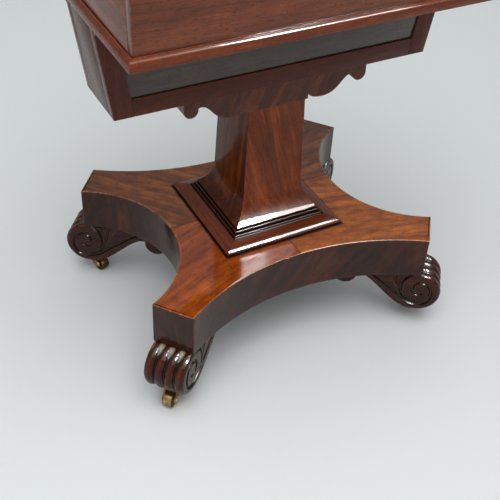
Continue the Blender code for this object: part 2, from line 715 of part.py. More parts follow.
def make_well_frame(face, side):
    # side is -1 at the front and 1 at the back.
    middle = side * (WELL_DEPTH - FRAME_THICKNESS) / 2
    panel_y = side * (WELL_DEPTH / 2 - PANEL_RECESS - PANEL_THICKNESS / 2)
    reach = STILE_WIDTH - PANEL_TONGUE
    low, high = RAIL_HEIGHT - PANEL_TONGUE, WELL_HEIGHT - RAIL_HEIGHT + PANEL_TONGUE
    groove_mesh = upright(well_outline(low - GAP, high + GAP, reach - GAP), PANEL_THICKNESS + 2 * GAP)
    panel_groove = add_cutter("well_" + face + "_groove", groove_mesh, (0, panel_y, WELL_BASE))
    members = {
        "stile_left": sloped_post(STILE_WIDTH, -1),
        "stile_right": sloped_post(STILE_WIDTH, 1),
        "bottom_rail": well_outline(0, RAIL_HEIGHT, STILE_WIDTH + GAP),
        "top_rail": well_outline(WELL_HEIGHT - RAIL_HEIGHT, WELL_HEIGHT, STILE_WIDTH + GAP),
    }
    for label, outline in members.items():
        mesh = upright(outline, FRAME_THICKNESS)
        member = add_part("well_" + face + "_" + label, mesh, MAHOGANY, (0, middle, WELL_BASE))
        boolean(member, panel_groove)
    panel = upright(well_outline(low, high, reach), PANEL_THICKNESS)
    add_part("well_" + face + "_panel", panel, PANEL_STAIN, (0, panel_y, WELL_BASE))


def make_well():
    make_well_frame("front", -1)
    make_well_frame("back", 1)
    depth = 2 * (WELL_INSIDE - GAP)
    for label, side in (("left", -1), ("right", 1)):
        mesh = upright(sloped_post(WELL_END_THICKNESS, side), depth)
        add_part("well_end_" + label, mesh, MAHOGANY, (0, 0, WELL_BASE))
    bottom = upright(well_outline(0, WELL_BOTTOM_THICKNESS, WELL_END_THICKNESS + GAP), depth)
    add_part("well_bottom", bottom, CEDAR, (0, 0, WELL_BASE))


def make_coves():
    # Hollow mouldings in the angle between the well and the case's underside.
    hollow_radius = COVE_SIZE - COVE_LIP
    outline = [(0, 0), (0, -COVE_SIZE), (COVE_LIP, -COVE_SIZE)]
    outline += arc((COVE_SIZE, -COVE_SIZE), hollow_radius, 180, 90, CURVE_FACETS)[1:]
    outline += [(COVE_SIZE, 0)]
    length = 2 * well_edge(WELL_HEIGHT - COVE_SIZE)
    for face, side in (("front", -1), ("back", 1)):
        mesh = upright(outline, length)
        mesh.transform(Matrix.Rotation(side * math.pi / 2, 4, "Z"))
        add_part("cove_" + face, mesh, DARK_MAHOGANY, (0, side * (WELL_DEPTH / 2 + GAP), WELL_TOP))


# Case

def make_case():
    x, y = CASE_WIDTH / 2, CASE_DEPTH / 2
    inner_x, inner_y = x - CASE_WALL, y - CASE_WALL
    floor = add_part("case_bottom", box((-inner_x + GAP, -inner_y + GAP, CASE_BASE),
                                        (inner_x - GAP, inner_y - GAP, CASE_FLOOR)), CEDAR)
    mouth = inner_x - GAP - MOUTH_RIM
    slot = box((-mouth, -WELL_INSIDE, WELL_TOP - CASE_WALL), (mouth, WELL_INSIDE, CASE_TOP))
    boolean(floor, add_cutter("well_mouth", slot))
    front = add_part("case_front", box((-x, -y, CASE_BASE), (x, -inner_y, CASE_TOP)), MAHOGANY)
    back = add_part("case_back", box((-x, inner_y, CASE_BASE), (x, y, CASE_TOP)), MAHOGANY)
    for label, side in (("left", -1), ("right", 1)):
        low, high = sorted((side * x, side * inner_x))
        end = box((low, -inner_y + GAP, CASE_BASE), (high, inner_y - GAP, CASE_TOP))
        add_part("case_end_" + label, end, MAHOGANY)
    add_part("case_moulding", moulding_mesh(x, y), DARK_MAHOGANY, (0, 0, CASE_BASE))
    return front, back


def moulding_mesh(x, y):
    # An ovolo with a lip above it, mitred round a box of half sizes x and y.
    nose = y + MOULDING_PROJECTION
    rise = MOULDING_HEIGHT / 2 - MOULDING_LIP
    profile = [(y + GAP, MOULDING_HEIGHT), (y + MOULDING_LIP, MOULDING_HEIGHT)]
    for i in range(BEAD_FACETS + 1):
        swing = math.pi / 2 * i / BEAD_FACETS
        profile.append((nose - (MOULDING_PROJECTION - MOULDING_LIP) * (1 - math.sin(swing)),
                        MOULDING_HEIGHT / 2 + rise * math.cos(swing)))
    profile += [(nose, 0), (y + GAP, 0)]
    return squared(profile, stretch=x - y, closed=True)


def make_trays():
    x = CASE_WIDTH / 2 - CASE_WALL - TRAY_FIT
    outer = CASE_DEPTH / 2 - CASE_WALL - TRAY_FIT
    inner = WELL_INSIDE + TRAY_FIT
    base = CASE_FLOOR + GAP
    cell = (2 * x - (TRAY_CELLS + 1) * TRAY_WALL) / TRAY_CELLS
    for face, side in (("front", -1), ("back", 1)):
        low, high = sorted((side * outer, side * inner))
        tray = add_part("tray_" + face, box((-x, low, base), (x, high, base + TRAY_HEIGHT)), CEDAR)
        for i in range(TRAY_CELLS):
            start = -x + TRAY_WALL + i * (cell + TRAY_WALL)
            pocket = box((start, low + TRAY_WALL, base + TRAY_FLOOR),
                         (start + cell, high - TRAY_WALL, base + 2 * TRAY_HEIGHT))
            boolean(tray, add_cutter("tray_" + face + "_cell", pocket))


# Lid, hinges and lock

def make_lid():
    half_y = (CASE_DEPTH + LID_OVERHANG) / 2
    half_x = CASE_WIDTH / 2 + LID_OVERHANG
    rise = LID_THICKNESS - LID_SQUARE
    profile = [(0, LID_THICKNESS)]
    for i in range(LID_FACETS + 1):
        swing = math.pi / 2 * i / LID_FACETS
        profile.append((half_y - LID_ROUND * (1 - math.sin(swing)), LID_SQUARE + rise * math.cos(swing)))
    profile += [(half_y, 0), (0, 0)]
    mesh = squared(profile, stretch=half_x - half_y)
    mesh.transform(Matrix.Translation(Vector((0, -LID_OVERHANG / 2, LID_BASE)) - HINGE_LINE))
    return add_part("lid", mesh, MAHOGANY, HINGE_LINE)


def knuckle_run(start, end):
    mesh = turned([(0, end), (KNUCKLE_RADIUS, end), (KNUCKLE_RADIUS, start), (0, start)], PIN_FACETS)
    mesh.transform(Matrix.Rotation(math.pi / 2, 4, "Y"))
    return mesh


def make_hinge(label, x, case_back, lid):
    # Positions are from the hinge line: the leaves reach forward into the wood.
    line = HINGE_LINE + Vector((x, 0, 0))
    half, third = HINGE_LENGTH / 2, HINGE_LENGTH / 6
    edge = CASE_BACK - HINGE_LINE.y
    bore = turned([(0, HINGE_LENGTH), (PIN_RADIUS + GAP, HINGE_LENGTH), (PIN_RADIUS + GAP, -HINGE_LENGTH),
                   (0, -HINGE_LENGTH)], PIN_FACETS)
    bore.transform(Matrix.Rotation(math.pi / 2, 4, "Y"))
    bore_tool = add_cutter("hinge_bore_" + label, bore, line)
    leaves = (("case", -1, case_back, ((-half, -third - GAP), (third + GAP, half))),
              ("lid", 1, lid, ((-third, third),)))
    for side, up, wood, runs in leaves:
        face = up * LID_GAP / 2
        low, high = sorted((face, face + up * LEAF_THICKNESS))
        leaf = add_part("hinge_" + side + "_leaf_" + label,
                        box((-half, edge - LEAF_WIDTH, low), (half, edge, high)), BRASS, line)
        for start, end in runs:
            tongue = box((start, edge - LEAF_WIDTH / 2, low), (end, 0, high))
            boolean(leaf, add_cutter("hinge_tongue_" + label, tongue, line), "UNION")
            boolean(leaf, add_cutter("hinge_knuckle_" + label, knuckle_run(start, end), line), "UNION")
        boolean(leaf, bore_tool)
        depth = face + up * (LEAF_THICKNESS + GAP)
        low, high = sorted((face - up * LEAF_THICKNESS, depth))
        recess = box((-half - GAP, edge - LEAF_WIDTH - GAP, low), (half + GAP, edge + LEAF_WIDTH, high))
        boolean(wood, add_cutter("hinge_recess_" + side + "_" + label, recess, line))
    bevel = PIN_RADIUS / 3
    pin = turned([(0, half), (PIN_RADIUS - bevel, half), (PIN_RADIUS, half - bevel),
                  (PIN_RADIUS, bevel - half), (PIN_RADIUS - bevel, -half), (0, -half)], PIN_FACETS)
    pin.transform(Matrix.Rotation(math.pi / 2, 4, "Y"))
    add_part("hinge_pin_" + label, rounded(pin), BRASS, line)


def keyhole(height):
    mouth = math.degrees(math.acos(KEYHOLE_SLOT / 2 / KEYHOLE_RADIUS))
    head = arc((0, height), KEYHOLE_RADIUS, -mouth, 180 + mouth, CURVE_FACETS)
    foot = height - KEYHOLE_LENGTH
    return head + [(-KEYHOLE_SLOT / 2, foot), (KEYHOLE_SLOT / 2, foot)]


def make_lock(case_front, lid):
    inside = -CASE_DEPTH / 2 + CASE_WALL
    outside = -CASE_DEPTH / 2
    top = CASE_TOP - LOCK_DROP
    bottom = top - LOCK_HEIGHT
    half = LOCK_WIDTH / 2
    lock = add_part("lock", box((-half, inside - LOCK_THICKNESS, bottom), (half, inside, top)), BRASS)
    pocket = box((-half - GAP, inside - LOCK_THICKNESS - GAP, bottom - GAP),
                 (half + GAP, inside + CASE_WALL, CASE_TOP + LOCK_HEIGHT))
    boolean(case_front, add_cutter("lock_pocket", pocket))
    middle = inside - LOCK_THICKNESS / 2
    link_low, link_high = LID_BASE, LID_BASE + LINK_THICKNESS
    plate = box((-LINK_LENGTH / 2, middle - LINK_WIDTH / 2, link_low),
                (LINK_LENGTH / 2, middle + LINK_WIDTH / 2, link_high))
    plate.transform(Matrix.Translation(-HINGE_LINE))
    link = add_part("lock_link_plate", plate, BRASS, HINGE_LINE)
    recess = box((-LINK_LENGTH / 2 - GAP, middle - LINK_WIDTH / 2 - GAP, link_low - LINK_THICKNESS),
                 (LINK_LENGTH / 2 + GAP, middle + LINK_WIDTH / 2 + GAP, link_high + GAP))
    boolean(lid, add_cutter("link_recess", recess))
    for label, side in (("left", -1), ("right", 1)):
        x = side * HOOK_SPACING / 2
        hook = box((x - HOOK_WIDTH / 2, middle - HOOK_THICKNESS / 2, link_low - HOOK_LENGTH),
                   (x + HOOK_WIDTH / 2, middle + HOOK_THICKNESS / 2, link_high - LINK_THICKNESS / 2))
        boolean(link, add_cutter("link_hook_" + label, hook), "UNION")
        slot = box((x - HOOK_WIDTH / 2 - HOOK_CLEARANCE, middle - HOOK_THICKNESS / 2 - HOOK_CLEARANCE,
                    link_low - HOOK_LENGTH - HOOK_CLEARANCE),
                   (x + HOOK_WIDTH / 2 + HOOK_CLEARANCE, middle + HOOK_THICKNESS / 2 + HOOK_CLEARANCE,
                    CASE_TOP + HOOK_LENGTH))
        boolean(lock, add_cutter("lock_slot_" + label, slot))
    centre = top - KEYHOLE_HEIGHT
    hole = upright(keyhole(centre), 2 * CASE_WALL)
    hole_tool = add_cutter("keyhole", hole, (0, outside - CASE_WALL / 2, 0))
    boolean(case_front, hole_tool)
    rim = arc((0, centre - KEYHOLE_LENGTH / 3), ESCUTCHEON_RADIUS, 0, 360, ESCUTCHEON_FACETS)[1:]
    face = outside - GAP - ESCUTCHEON_THICKNESS / 2
    boolean(add_part("escutcheon", upright(rim, ESCUTCHEON_THICKNESS), BRASS, (0, face, 0)), hole_tool)


def main():
    make_platform()
    make_feet()
    make_castors()
    make_collar()
    make_beads()
    make_column()
    make_bearer()
    make_well()
    make_coves()
    case_front, case_back = make_case()
    make_trays()
    lid = make_lid()
    for label, side in (("left", -1), ("right", 1)):
        make_hinge(label, side * HINGE_SPACING / 2, case_back, lid)
    make_lock(case_front, lid)


for old in list(bpy.data.objects):
    bpy.data.objects.remove(old, do_unlink=True)
parts = new_collection("work_table")
cutters = new_collection("cutters")
main()
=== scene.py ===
# Looks of the work table: figured mahogany, reeded scroll feet, brass castors and fittings.
# Metres, +Z up, +X to the right along the front, +Y to the back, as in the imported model.

import json
import math

import bmesh
import bpy
import numpy as np
from mathutils import Matrix, Vector, noise

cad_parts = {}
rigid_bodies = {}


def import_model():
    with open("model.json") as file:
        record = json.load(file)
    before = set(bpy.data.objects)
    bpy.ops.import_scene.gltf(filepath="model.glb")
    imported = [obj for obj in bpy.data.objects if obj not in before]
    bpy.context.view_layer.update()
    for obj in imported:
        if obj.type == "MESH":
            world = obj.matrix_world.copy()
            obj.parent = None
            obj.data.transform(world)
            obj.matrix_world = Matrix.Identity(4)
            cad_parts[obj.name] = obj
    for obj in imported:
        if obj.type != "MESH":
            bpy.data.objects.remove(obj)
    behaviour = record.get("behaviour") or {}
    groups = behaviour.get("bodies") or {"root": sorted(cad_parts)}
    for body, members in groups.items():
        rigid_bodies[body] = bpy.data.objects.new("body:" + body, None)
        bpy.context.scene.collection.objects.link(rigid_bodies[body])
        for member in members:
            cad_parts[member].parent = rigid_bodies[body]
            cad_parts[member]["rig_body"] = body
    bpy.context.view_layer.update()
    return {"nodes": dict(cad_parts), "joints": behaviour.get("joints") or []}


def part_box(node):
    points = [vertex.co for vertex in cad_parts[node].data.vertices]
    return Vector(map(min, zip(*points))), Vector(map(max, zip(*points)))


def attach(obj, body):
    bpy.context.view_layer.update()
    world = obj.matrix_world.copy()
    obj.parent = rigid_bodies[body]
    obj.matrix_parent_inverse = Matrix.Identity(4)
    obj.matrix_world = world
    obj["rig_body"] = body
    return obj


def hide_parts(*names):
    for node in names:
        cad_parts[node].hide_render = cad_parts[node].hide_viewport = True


for leftover in list(bpy.data.objects):
    bpy.data.objects.remove(leftover, do_unlink=True)
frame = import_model()
cad = frame["nodes"]
joints = {joint["name"]: joint for joint in frame["joints"]}
corners = {"front_left": (-1, -1), "front_right": (1, -1), "back_left": (-1, 1), "back_right": (1, 1)}
right, back, up = Vector((1, 0, 0)), Vector((0, 1, 0)), Vector((0, 0, 1))
weld = 0.00001
print("frame loaded:", len(cad), "pieces")


# Colours and nodes

def linear(hexColour):
    channels = [int(hexColour[i:i + 2], 16) / 255 for i in (0, 2, 4)]
    return tuple(c / 12.92 if c <= 0.04045 else ((c + 0.055) / 1.055) ** 2.4 for c in channels) + (1.0,)


def perMetre(millimetres):
    return 1000.0 / millimetres  # repeats of a pattern of that size


def setInputs(tree, node, links):
    for name, value in links.items():
        if isinstance(value, bpy.types.NodeSocket):
            tree.links.new(value, node.inputs[name])
        else:
            node.inputs[name].default_value = value


def addNode(tree, kind, links=None, **settings):
    node = tree.nodes.new(kind)
    for name, value in settings.items():
        setattr(node, name, value)
    setInputs(tree, node, links or {})
    return node


def newMaterial(name):
    material = bpy.data.materials.new(name)
    material.use_nodes = True
    return material, material.node_tree, material.node_tree.nodes["Principled BSDF"]


# Wood: french-polished mahogany veneer, hand-planed under many coats of shellac. The eye sees long
# dark and light streaks along the grain, short open pores, a deep smooth gloss, rubbed arrises that
# show paler wood, and grey dust that has settled in the carving.
# The grain attribute holds metres along the grain, across it and into the wood. The wear attribute is
# above zero where the polish is rubbed off and where a glow is painted on the reeds' crowns, and below zero
# where near-black dark wax and painted shade are laid in quirks, undercuts, grooves and valleys.

plainWood = {"mottle": 0.2, "rough": 0.32, "coatIor": 1.45, "chips": (0.04, 0.95)}
woods = {  # tones from dark to light, then the pores and rubbed wood, which on the reeds also paints their crowns' glow; streak along and across the grain, and its sway, in mm; coat and its roughness; pale: painted light, the brightness near the middle of the table, and far out
    # its sway, in mm; coat and its roughness; pale: brightness near the middle of the table, and far out
    "topVeneer": {"tones": ("76340e", "a2531a", "c06e2c", "341607", "cd9058"), "streak": (240, 15, 10),
        "contrast": 0.85, "mottle": 0.42, "rough": 0.4, "coat": (0.8, 0.3), "pale": (1.3, 0.82)},
    "topVeneerBright": {"tones": ("722b04", "9e4607", "b85c12", "301305", "d49258"),
        "streak": (220, 14, 11), "contrast": 0.9, "mottle": 0.36, "rough": 0.34, "coat": (1.0, 0.08),
        "coatIor": 1.5, "pale": (1.08, 0.86)},
    # painted shade: a darker copy of the top veneer for the two back quarters
    "topVeneerPaintedShade": {"tones": ("3c1a07", "7c3e15", "a86029", "280f06", "cf9c6c"),
        "streak": (220, 17, 14), "contrast": 0.98, "mottle": 0.4, "rough": 0.4, "coat": (0.9, 0.2),
        "pale": (1.6, 0.8)},
    "sideVeneer": {"tones": ("1a0904", "331406", "5e280c", "120703", "8a5338"), "streak": (110, 30, 24),
        "contrast": 0.8, "mottle": 0.25, "rough": 0.34, "coat": (0.62, 0.12)},
    "columnVeneer": {"tones": ("3e1605", "702e0b", "a65117", "240e05", "a86c45"),
        "streak": (380, 13, 14), "contrast": 0.95, "coat": (0.4, 0.045)},
    # painted shade: a darker copy of the column veneer for the column's left face
    "columnVeneerPaintedShade": {"tones": ("2a0d02", "4a1a03", "8a3f0c", "1a0a03", "a86c45"),
        "streak": (380, 15, 14), "contrast": 0.95, "coat": (0.24, 0.1)},
    "collarWood": {"tones": ("4a1c08", "6e2d0c", "883e14", "260e05", "96603f"), "streak": (240, 9, 5),
        "contrast": 0.7, "rough": 0.3, "coat": (0.6, 0.05)},
    "carvedWood": {"tones": ("190904", "321307", "52200c", "120703", "84350f"), "streak": (150, 10, 5),
        "contrast": 0.7, "mottle": 0.25, "coat": (0.5, 0.09), "chips": (0.35, 0.8)},
    "bearerVeneer": {"tones": ("2a0f06", "4f210a", "7a3814", "180904", "7c4c31"),
        "streak": (120, 16, 26), "contrast": 0.95, "mottle": 0.25, "rough": 0.36, "coat": (0.55, 0.18)},
    "frameWood": {"tones": ("351206", "4d1b07", "61260c", "1f0c05", "7e4c33"), "streak": (300, 10, 5),
        "contrast": 0.6, "mottle": 0.15, "rough": 0.38, "coat": (0.42, 0.2)},
    "caseVeneer": {"tones": ("421c0d", "6b3016", "914a25", "2a1209", "a9714a"), "streak": (360, 15, 12),
        "contrast": 0.8, "coat": (0.8, 0.22)},
    "stainedPanel": {"tones": ("2a1e18", "3a2a22", "46342a", "12100f", "5b4a3f"),
        "streak": (300, 12, 6), "contrast": 0.5, "mottle": 0.15, "coat": (1.0, 0.1)},
    "cedarLining": {"tones": ("8a5a3a", "a26e48", "b88358", "6b4128", "c89a70"), "streak": (200, 7, 4),
        "contrast": 0.6, "mottle": 0.15, "rough": 0.55, "coat": (0.0, 0.3)},
    "glueLine": {"tones": ("1c0d07", "241109", "2c150c", "140904", "2c150c"), "streak": (80, 6, 2),
        "contrast": 0.5, "mottle": 0.1, "rough": 0.45, "coat": (0.4, 0.2)},
}
grainSizes = {"sway": (180, 45), "line": (55, 1.3), "pore": (5, 0.9), "mottle": (26, 11), "ageing": 110,
              "chip": 3.5, "dustClump": 2.2, "wave": 6, "pale": (120, 280)}
# millimetres, along and across the grain where there are two; the pores are drawn twice as coarse, to show
# near-black colour for the dark wax and painted shade in the hollows, and pale dust
settledAndShade = {"wax": "0d0705", "dust": "e4dccb", "waxCover": 0.95, "dustMatt": 2.5, "dull": 0.3}


def makeWood(name, look):
    material, tree, shader = newMaterial(name)
    grain = addNode(tree, "ShaderNodeAttribute", attribute_name="grain").outputs["Vector"]
    wear = addNode(tree, "ShaderNodeAttribute", attribute_name="wear").outputs["Fac"]
    dust = addNode(tree, "ShaderNodeAttribute", attribute_name="dust").outputs["Fac"]
    place = addNode(tree, "ShaderNodeTexCoord").outputs["Object"]

    # the grain wanders sideways a few millimetres
    long, wide = (perMetre(size) for size in grainSizes["sway"])
    swayAt = addNode(tree, "ShaderNodeVectorMath", {0: grain, 1: (long, wide, wide)}, operation="MULTIPLY")
    sway = addNode(tree, "ShaderNodeTexNoise", {"Vector": swayAt.outputs[0], "Scale": 1.0, "Detail": 2.0})
    *streak, drift = look["streak"]
    shift = addNode(tree, "ShaderNodeMapRange", {"Value": sway.outputs[0], "To Min": -drift / 1000,
                                                 "To Max": drift / 1000})
    offset = addNode(tree, "ShaderNodeCombineXYZ", {"Y": shift.outputs[0]})
    swayed = addNode(tree, "ShaderNodeVectorMath", {0: grain, 1: offset.outputs[0]}, operation="ADD")

    # broad figure, fine lines, mottle and pores are drawn out along the grain, and the rest lies evenly
    noises = {"figure": {"Detail": 4.0, "Roughness": 0.55, "Distortion": 0.25}, "line": {"Detail": 2.0},
              "mottle": {"Detail": 3.0}, "pore": {"Detail": 1.0}, "ageing": {"Detail": 3.0},
              "chip": {"Detail": 3.0, "Roughness": 0.7}, "dustClump": {"Detail": 2.0},
              "wave": {"Detail": 1.0}}
    sizes = grainSizes | {"figure": tuple(streak)}
    for pattern, settings in noises.items():
        if isinstance(sizes[pattern], tuple):
            long, wide = (perMetre(size) for size in sizes[pattern])
            drawn = addNode(tree, "ShaderNodeVectorMath", {0: swayed.outputs[0], 1: (long, wide, wide)},
                            operation="MULTIPLY")
            settings |= {"Vector": drawn.outputs[0], "Scale": 1.0}
        else:
            settings |= {"Vector": place, "Scale": perMetre(sizes[pattern])}
        noises[pattern] = addNode(tree, "ShaderNodeTexNoise", settings).outputs[0]
    spread, mottle = 0.28 / look["contrast"], look["mottle"]
    shades = {"dark": ("figure", 0.5 - spread, 0.5, 0, 1), "light": ("figure", 0.5, 0.5 + spread, 0, 1),
              "line": ("line", 0.3, 0.7, 0.8, 1.16), "age": ("ageing", 0.3, 0.7, 0.84, 1.14),
              "mottle": ("mottle", 0.3, 0.7, 1 - mottle, 1 + mottle), "pores": ("pore", 0.6, 0.7, 0, 0.75),
              "chips": ("chip", 0.46, 0.68, *look["chips"]), "clumps": ("dustClump", 0.35, 0.7, 0.4, 1)}
    for shade, (pattern, start, end, low, high) in shades.items():
        shades[shade] = addNode(tree, "ShaderNodeMapRange", {"Value": noises[pattern], "From Min": start,
                                                             "From Max": end, "To Min": low,
                                                             "To Max": high}).outputs[0]

    # the figure runs from dark to light, and the other patterns brighten or darken it
    darkest, middle, lightest, pore, rub = look["tones"]
    colour = linear(darkest)
    for shade, tone in (("dark", middle), ("light", lightest)):
        colour = addNode(tree, "ShaderNodeMix", {0: shades[shade], 6: colour, 7: linear(tone)},
                         data_type="RGBA").outputs[2]
    factors = [shades["line"], shades["age"], shades["mottle"]]
    if "pale" in look:  # painted light: brighter near the middle of the table, and darker far out
        level = addNode(tree, "ShaderNodeVectorMath", {0: place, 1: (1, 1, 0)}, operation="MULTIPLY")
        reach = addNode(tree, "ShaderNodeVectorMath", {0: level.outputs[0]}, operation="LENGTH")
        (near, far), (most, least) = grainSizes["pale"], look["pale"]
        pale = addNode(tree, "ShaderNodeMapRange", {"Value": reach.outputs["Value"], "From Min": near / 1000,
                                                    "From Max": far / 1000, "To Min": most, "To Max": least})
        factors.append(pale.outputs[0])
    for factor in factors:
        colour = addNode(tree, "ShaderNodeVectorMath", {0: colour, "Scale": factor},
                         operation="SCALE").outputs[0]

    # pores, dark wax and painted shade in the quirks and hollows, rubbed or chipped arrises with a painted
    # glow on the reeds' crowns, and dust in the hollows of the carving
    masks = {"waxed": (wear, -settledAndShade["waxCover"]), "rubbedAndGlow": (wear, shades["chips"]),
             "dusty": (dust, shades["clumps"]), "matt": (dust, settledAndShade["dustMatt"])}
    for mask, (first, second) in masks.items():
        masks[mask] = addNode(tree, "ShaderNodeMath", {0: first, 1: second}, operation="MULTIPLY",
                              use_clamp=True).outputs[0]
    for mask, tone in ((shades["pores"], pore), (masks["waxed"], settledAndShade["wax"]),
                       (masks["rubbedAndGlow"], rub), (masks["dusty"], settledAndShade["dust"])):
        colour = addNode(tree, "ShaderNodeMix", {0: mask, 6: colour, 7: linear(tone)},
                         data_type="RGBA").outputs[2]

    # dull where porous or dusty, with no polish over the dark wax and painted shade, nor over dust
    dullness = addNode(tree, "ShaderNodeMath", {0: shades["pores"], 1: masks["dusty"]}, operation="ADD")
    roughness = addNode(tree, "ShaderNodeMath", {0: dullness.outputs[0], 1: settledAndShade["dull"],
                                                 2: look["rough"]}, operation="MULTIPLY_ADD")
    lost = addNode(tree, "ShaderNodeMath", {0: masks["waxed"], 1: masks["matt"]}, operation="MAXIMUM")
    coat, coatRough = look["coat"]
    polish = addNode(tree, "ShaderNodeMath", {0: lost.outputs[0], 1: -coat, 2: coat},
                     operation="MULTIPLY_ADD", use_clamp=True)
    relief = addNode(tree, "ShaderNodeMath", {0: shades["pores"], 1: -1.0, 2: shades["line"]},
                     operation="MULTIPLY_ADD")
    bump = addNode(tree, "ShaderNodeBump", {"Height": relief.outputs[0], "Strength": 0.25,
                                            "Distance": 0.0003})
    ripple = addNode(tree, "ShaderNodeBump", {"Height": noises["wave"], "Strength": 0.02, "Distance": 0.001})
    setInputs(tree, shader, {
        "Base Color": colour, "Roughness": roughness.outputs[0], "Normal": bump.outputs[0],
        "Specular IOR Level": 0.05, "Coat Weight": polish.outputs[0], "Coat Normal": ripple.outputs[0],
        "Coat Roughness": coatRough, "Coat IOR": look["coatIor"]})
    return material


# Brass: cast, filed and worn, a warm yellow with brown tarnish in blotches and fine rub marks. The sides
# of the castor wheels, and the treads at the back, are painted nearly black: painted shade.

brasses = {
    "castBrass": {"bright": "b89a68", "tarnish": "4e3d26", "blotch": 5, "rough": (0.36, 0.55)},
    "forkBrass": {"bright": "ac8550", "tarnish": "46361f", "blotch": 5, "rough": (0.5, 0.62)},
    "wheelBrass": {"bright": "54442e", "tarnish": "17110c", "blotch": 6, "rough": (0.46, 0.62)},
}
rubMarks = (6, 0.5)  # millimetres, level and upright


def makeBrass(name, look):
    material, tree, shader = newMaterial(name)
    place = addNode(tree, "ShaderNodeTexCoord").outputs["Object"]
    blotches = addNode(tree, "ShaderNodeTexNoise", {"Vector": place, "Scale": perMetre(look["blotch"]),
                                                    "Detail": 4.0, "Roughness": 0.6})
    tarnish = addNode(tree, "ShaderNodeMapRange", {"Value": blotches.outputs[0], "From Min": 0.42,
                                                   "From Max": 0.68, "To Max": 0.85}).outputs[0]
    colour = addNode(tree, "ShaderNodeMix", {0: tarnish, 6: linear(look["bright"]),
                                             7: linear(look["tarnish"])}, data_type="RGBA")
    wide, tall = (perMetre(size) for size in rubMarks)
    rubAt = addNode(tree, "ShaderNodeVectorMath", {0: place, 1: (wide, wide, tall)}, operation="MULTIPLY")
    rubs = addNode(tree, "ShaderNodeTexNoise", {"Vector": rubAt.outputs[0], "Scale": 1.0, "Detail": 2.0})
    low, high = look["rough"]
    roughness = addNode(tree, "ShaderNodeMapRange", {"Value": tarnish, "To Min": low, "To Max": high})
    bump = addNode(tree, "ShaderNodeBump", {"Height": rubs.outputs[0], "Strength": 0.12, "Distance": 0.0002})
    setInputs(tree, shader, {"Base Color": colour.outputs[2], "Roughness": roughness.outputs[0],
                             "Normal": bump.outputs[0], "Metallic": 1.0})
    return material


finishes = {name: makeWood(name, plainWood | look) for name, look in woods.items()}
finishes |= {name: makeBrass(name, look) for name, look in brasses.items()}
print("finishes made:", len(finishes))


# Outlines

def arcPoints(centre, radius, start, end, steps):
    angles = [math.radians(start + (end - start) * i / steps) for i in range(steps + 1)]
    return [(centre[0] + radius * math.cos(a), centre[1] + radius * math.sin(a)) for a in angles]


def curvePoints(p0, p1, p2, p3, steps):
    points = []
    for i in range(steps + 1):
        t = i / steps
        weights = ((1 - t) ** 3, 3 * t * (1 - t) ** 2, 3 * t * t * (1 - t), t ** 3)
        points.append(tuple(sum(w * p[k] for w, p in zip(weights, (p0, p1, p2, p3))) for k in (0, 1)))
    return points


def hollowPoints(start, end, depth, steps):
    # a concave arc from start to end, bowed to the left of that line
    start, end = Vector(start), Vector(end)
    half = (end - start).length / 2
    along = (end - start).normalized()
    inward = Vector((-along.y, along.x))
    radius = (half * half + depth * depth) / (2 * depth)
    sweep = math.asin(half / radius)
    middle = (start + end) / 2 + inward * (depth - radius)
    turns = [sweep * (2 * i / steps - 1) for i in range(steps + 1)]
    return [tuple(middle + along * radius * math.sin(a) + inward * radius * math.cos(a)) for a in turns]


def inset(outline, distance):
    # the outline runs anticlockwise; mitred corners
    points = [Vector(p) for p in outline]
    moved = []
    for i, point in enumerate(points):
        before = (point - points[i - 1]).normalized()
        after = (points[(i + 1) % len(points)] - point).normalized()
        n1, n2 = Vector((-before.y, before.x)), Vector((-after.y, after.x))
        moved.append(point + (n1 + n2) * distance / (1 + n1.dot(n2)))
    return moved


def eased(outline, reach, steps=4):
    # sharp corners of an outline made round
    points = [Vector(p) for p in outline]
    soft = []
    for i, point in enumerate(points):
        before, after = points[i - 1] - point, points[(i + 1) % len(points)] - point
        if before.angle(-after) < math.radians(20):
            soft.append(point)
            continue
        start, end = point + before.normalized() * reach, point + after.normalized() * reach
        shares = [k / steps for k in range(steps + 1)]
        soft += [start.lerp(point, t).lerp(point.lerp(end, t), t) for t in shares]
    return soft


# Solids

upright = Matrix.Rotation(math.pi / 2, 4, "X")  # stands an outline up, facing the front


def joinRings(bm, rings, loop=False):
    pairs = list(zip(rings, rings[1:])) + ([(rings[-1], rings[0])] if loop else [])
    for low, high in pairs:
        for i in range(len(low)):
            j = (i + 1) % len(low)
            bm.faces.new((low[i], low[j], high[j], high[i]))
    if not loop:
        bm.faces.new(rings[0])
        bm.faces.new(rings[-1])


def roundedSlab(outline, low, high, edge, place=Matrix()):
    # an outline given thickness, with rounded arrises that carry the wear
    bm = bmesh.new()
    wear = bm.verts.layers.float.new("wear")
    arris, band, steps = edge["arris"], edge["band"], edge["steps"]
    turns = [math.pi / 2 * i / steps for i in range(steps + 1)]
    stages = [(band, low, 0.0)]
    stages += [(arris * (1 - math.sin(a)), low + arris * (1 - math.cos(a)), edge["worn"]) for a in turns]
    stages += [(0.0, low + band, 0.0), (0.0, high - band, 0.0)]
    stages += [(arris * (1 - math.cos(a)), high - arris * (1 - math.sin(a)), edge["worn"]) for a in turns]
    stages += [(band, high, 0.0)]
    rings = []
    for distance, height, worn in stages:
        ring = [bm.verts.new(place @ Vector((*p, height))) for p in inset(outline, distance)]
        for vertex in ring:
            vertex[wear] = worn
        rings.append(ring)
    joinRings(bm, rings)
    return bm


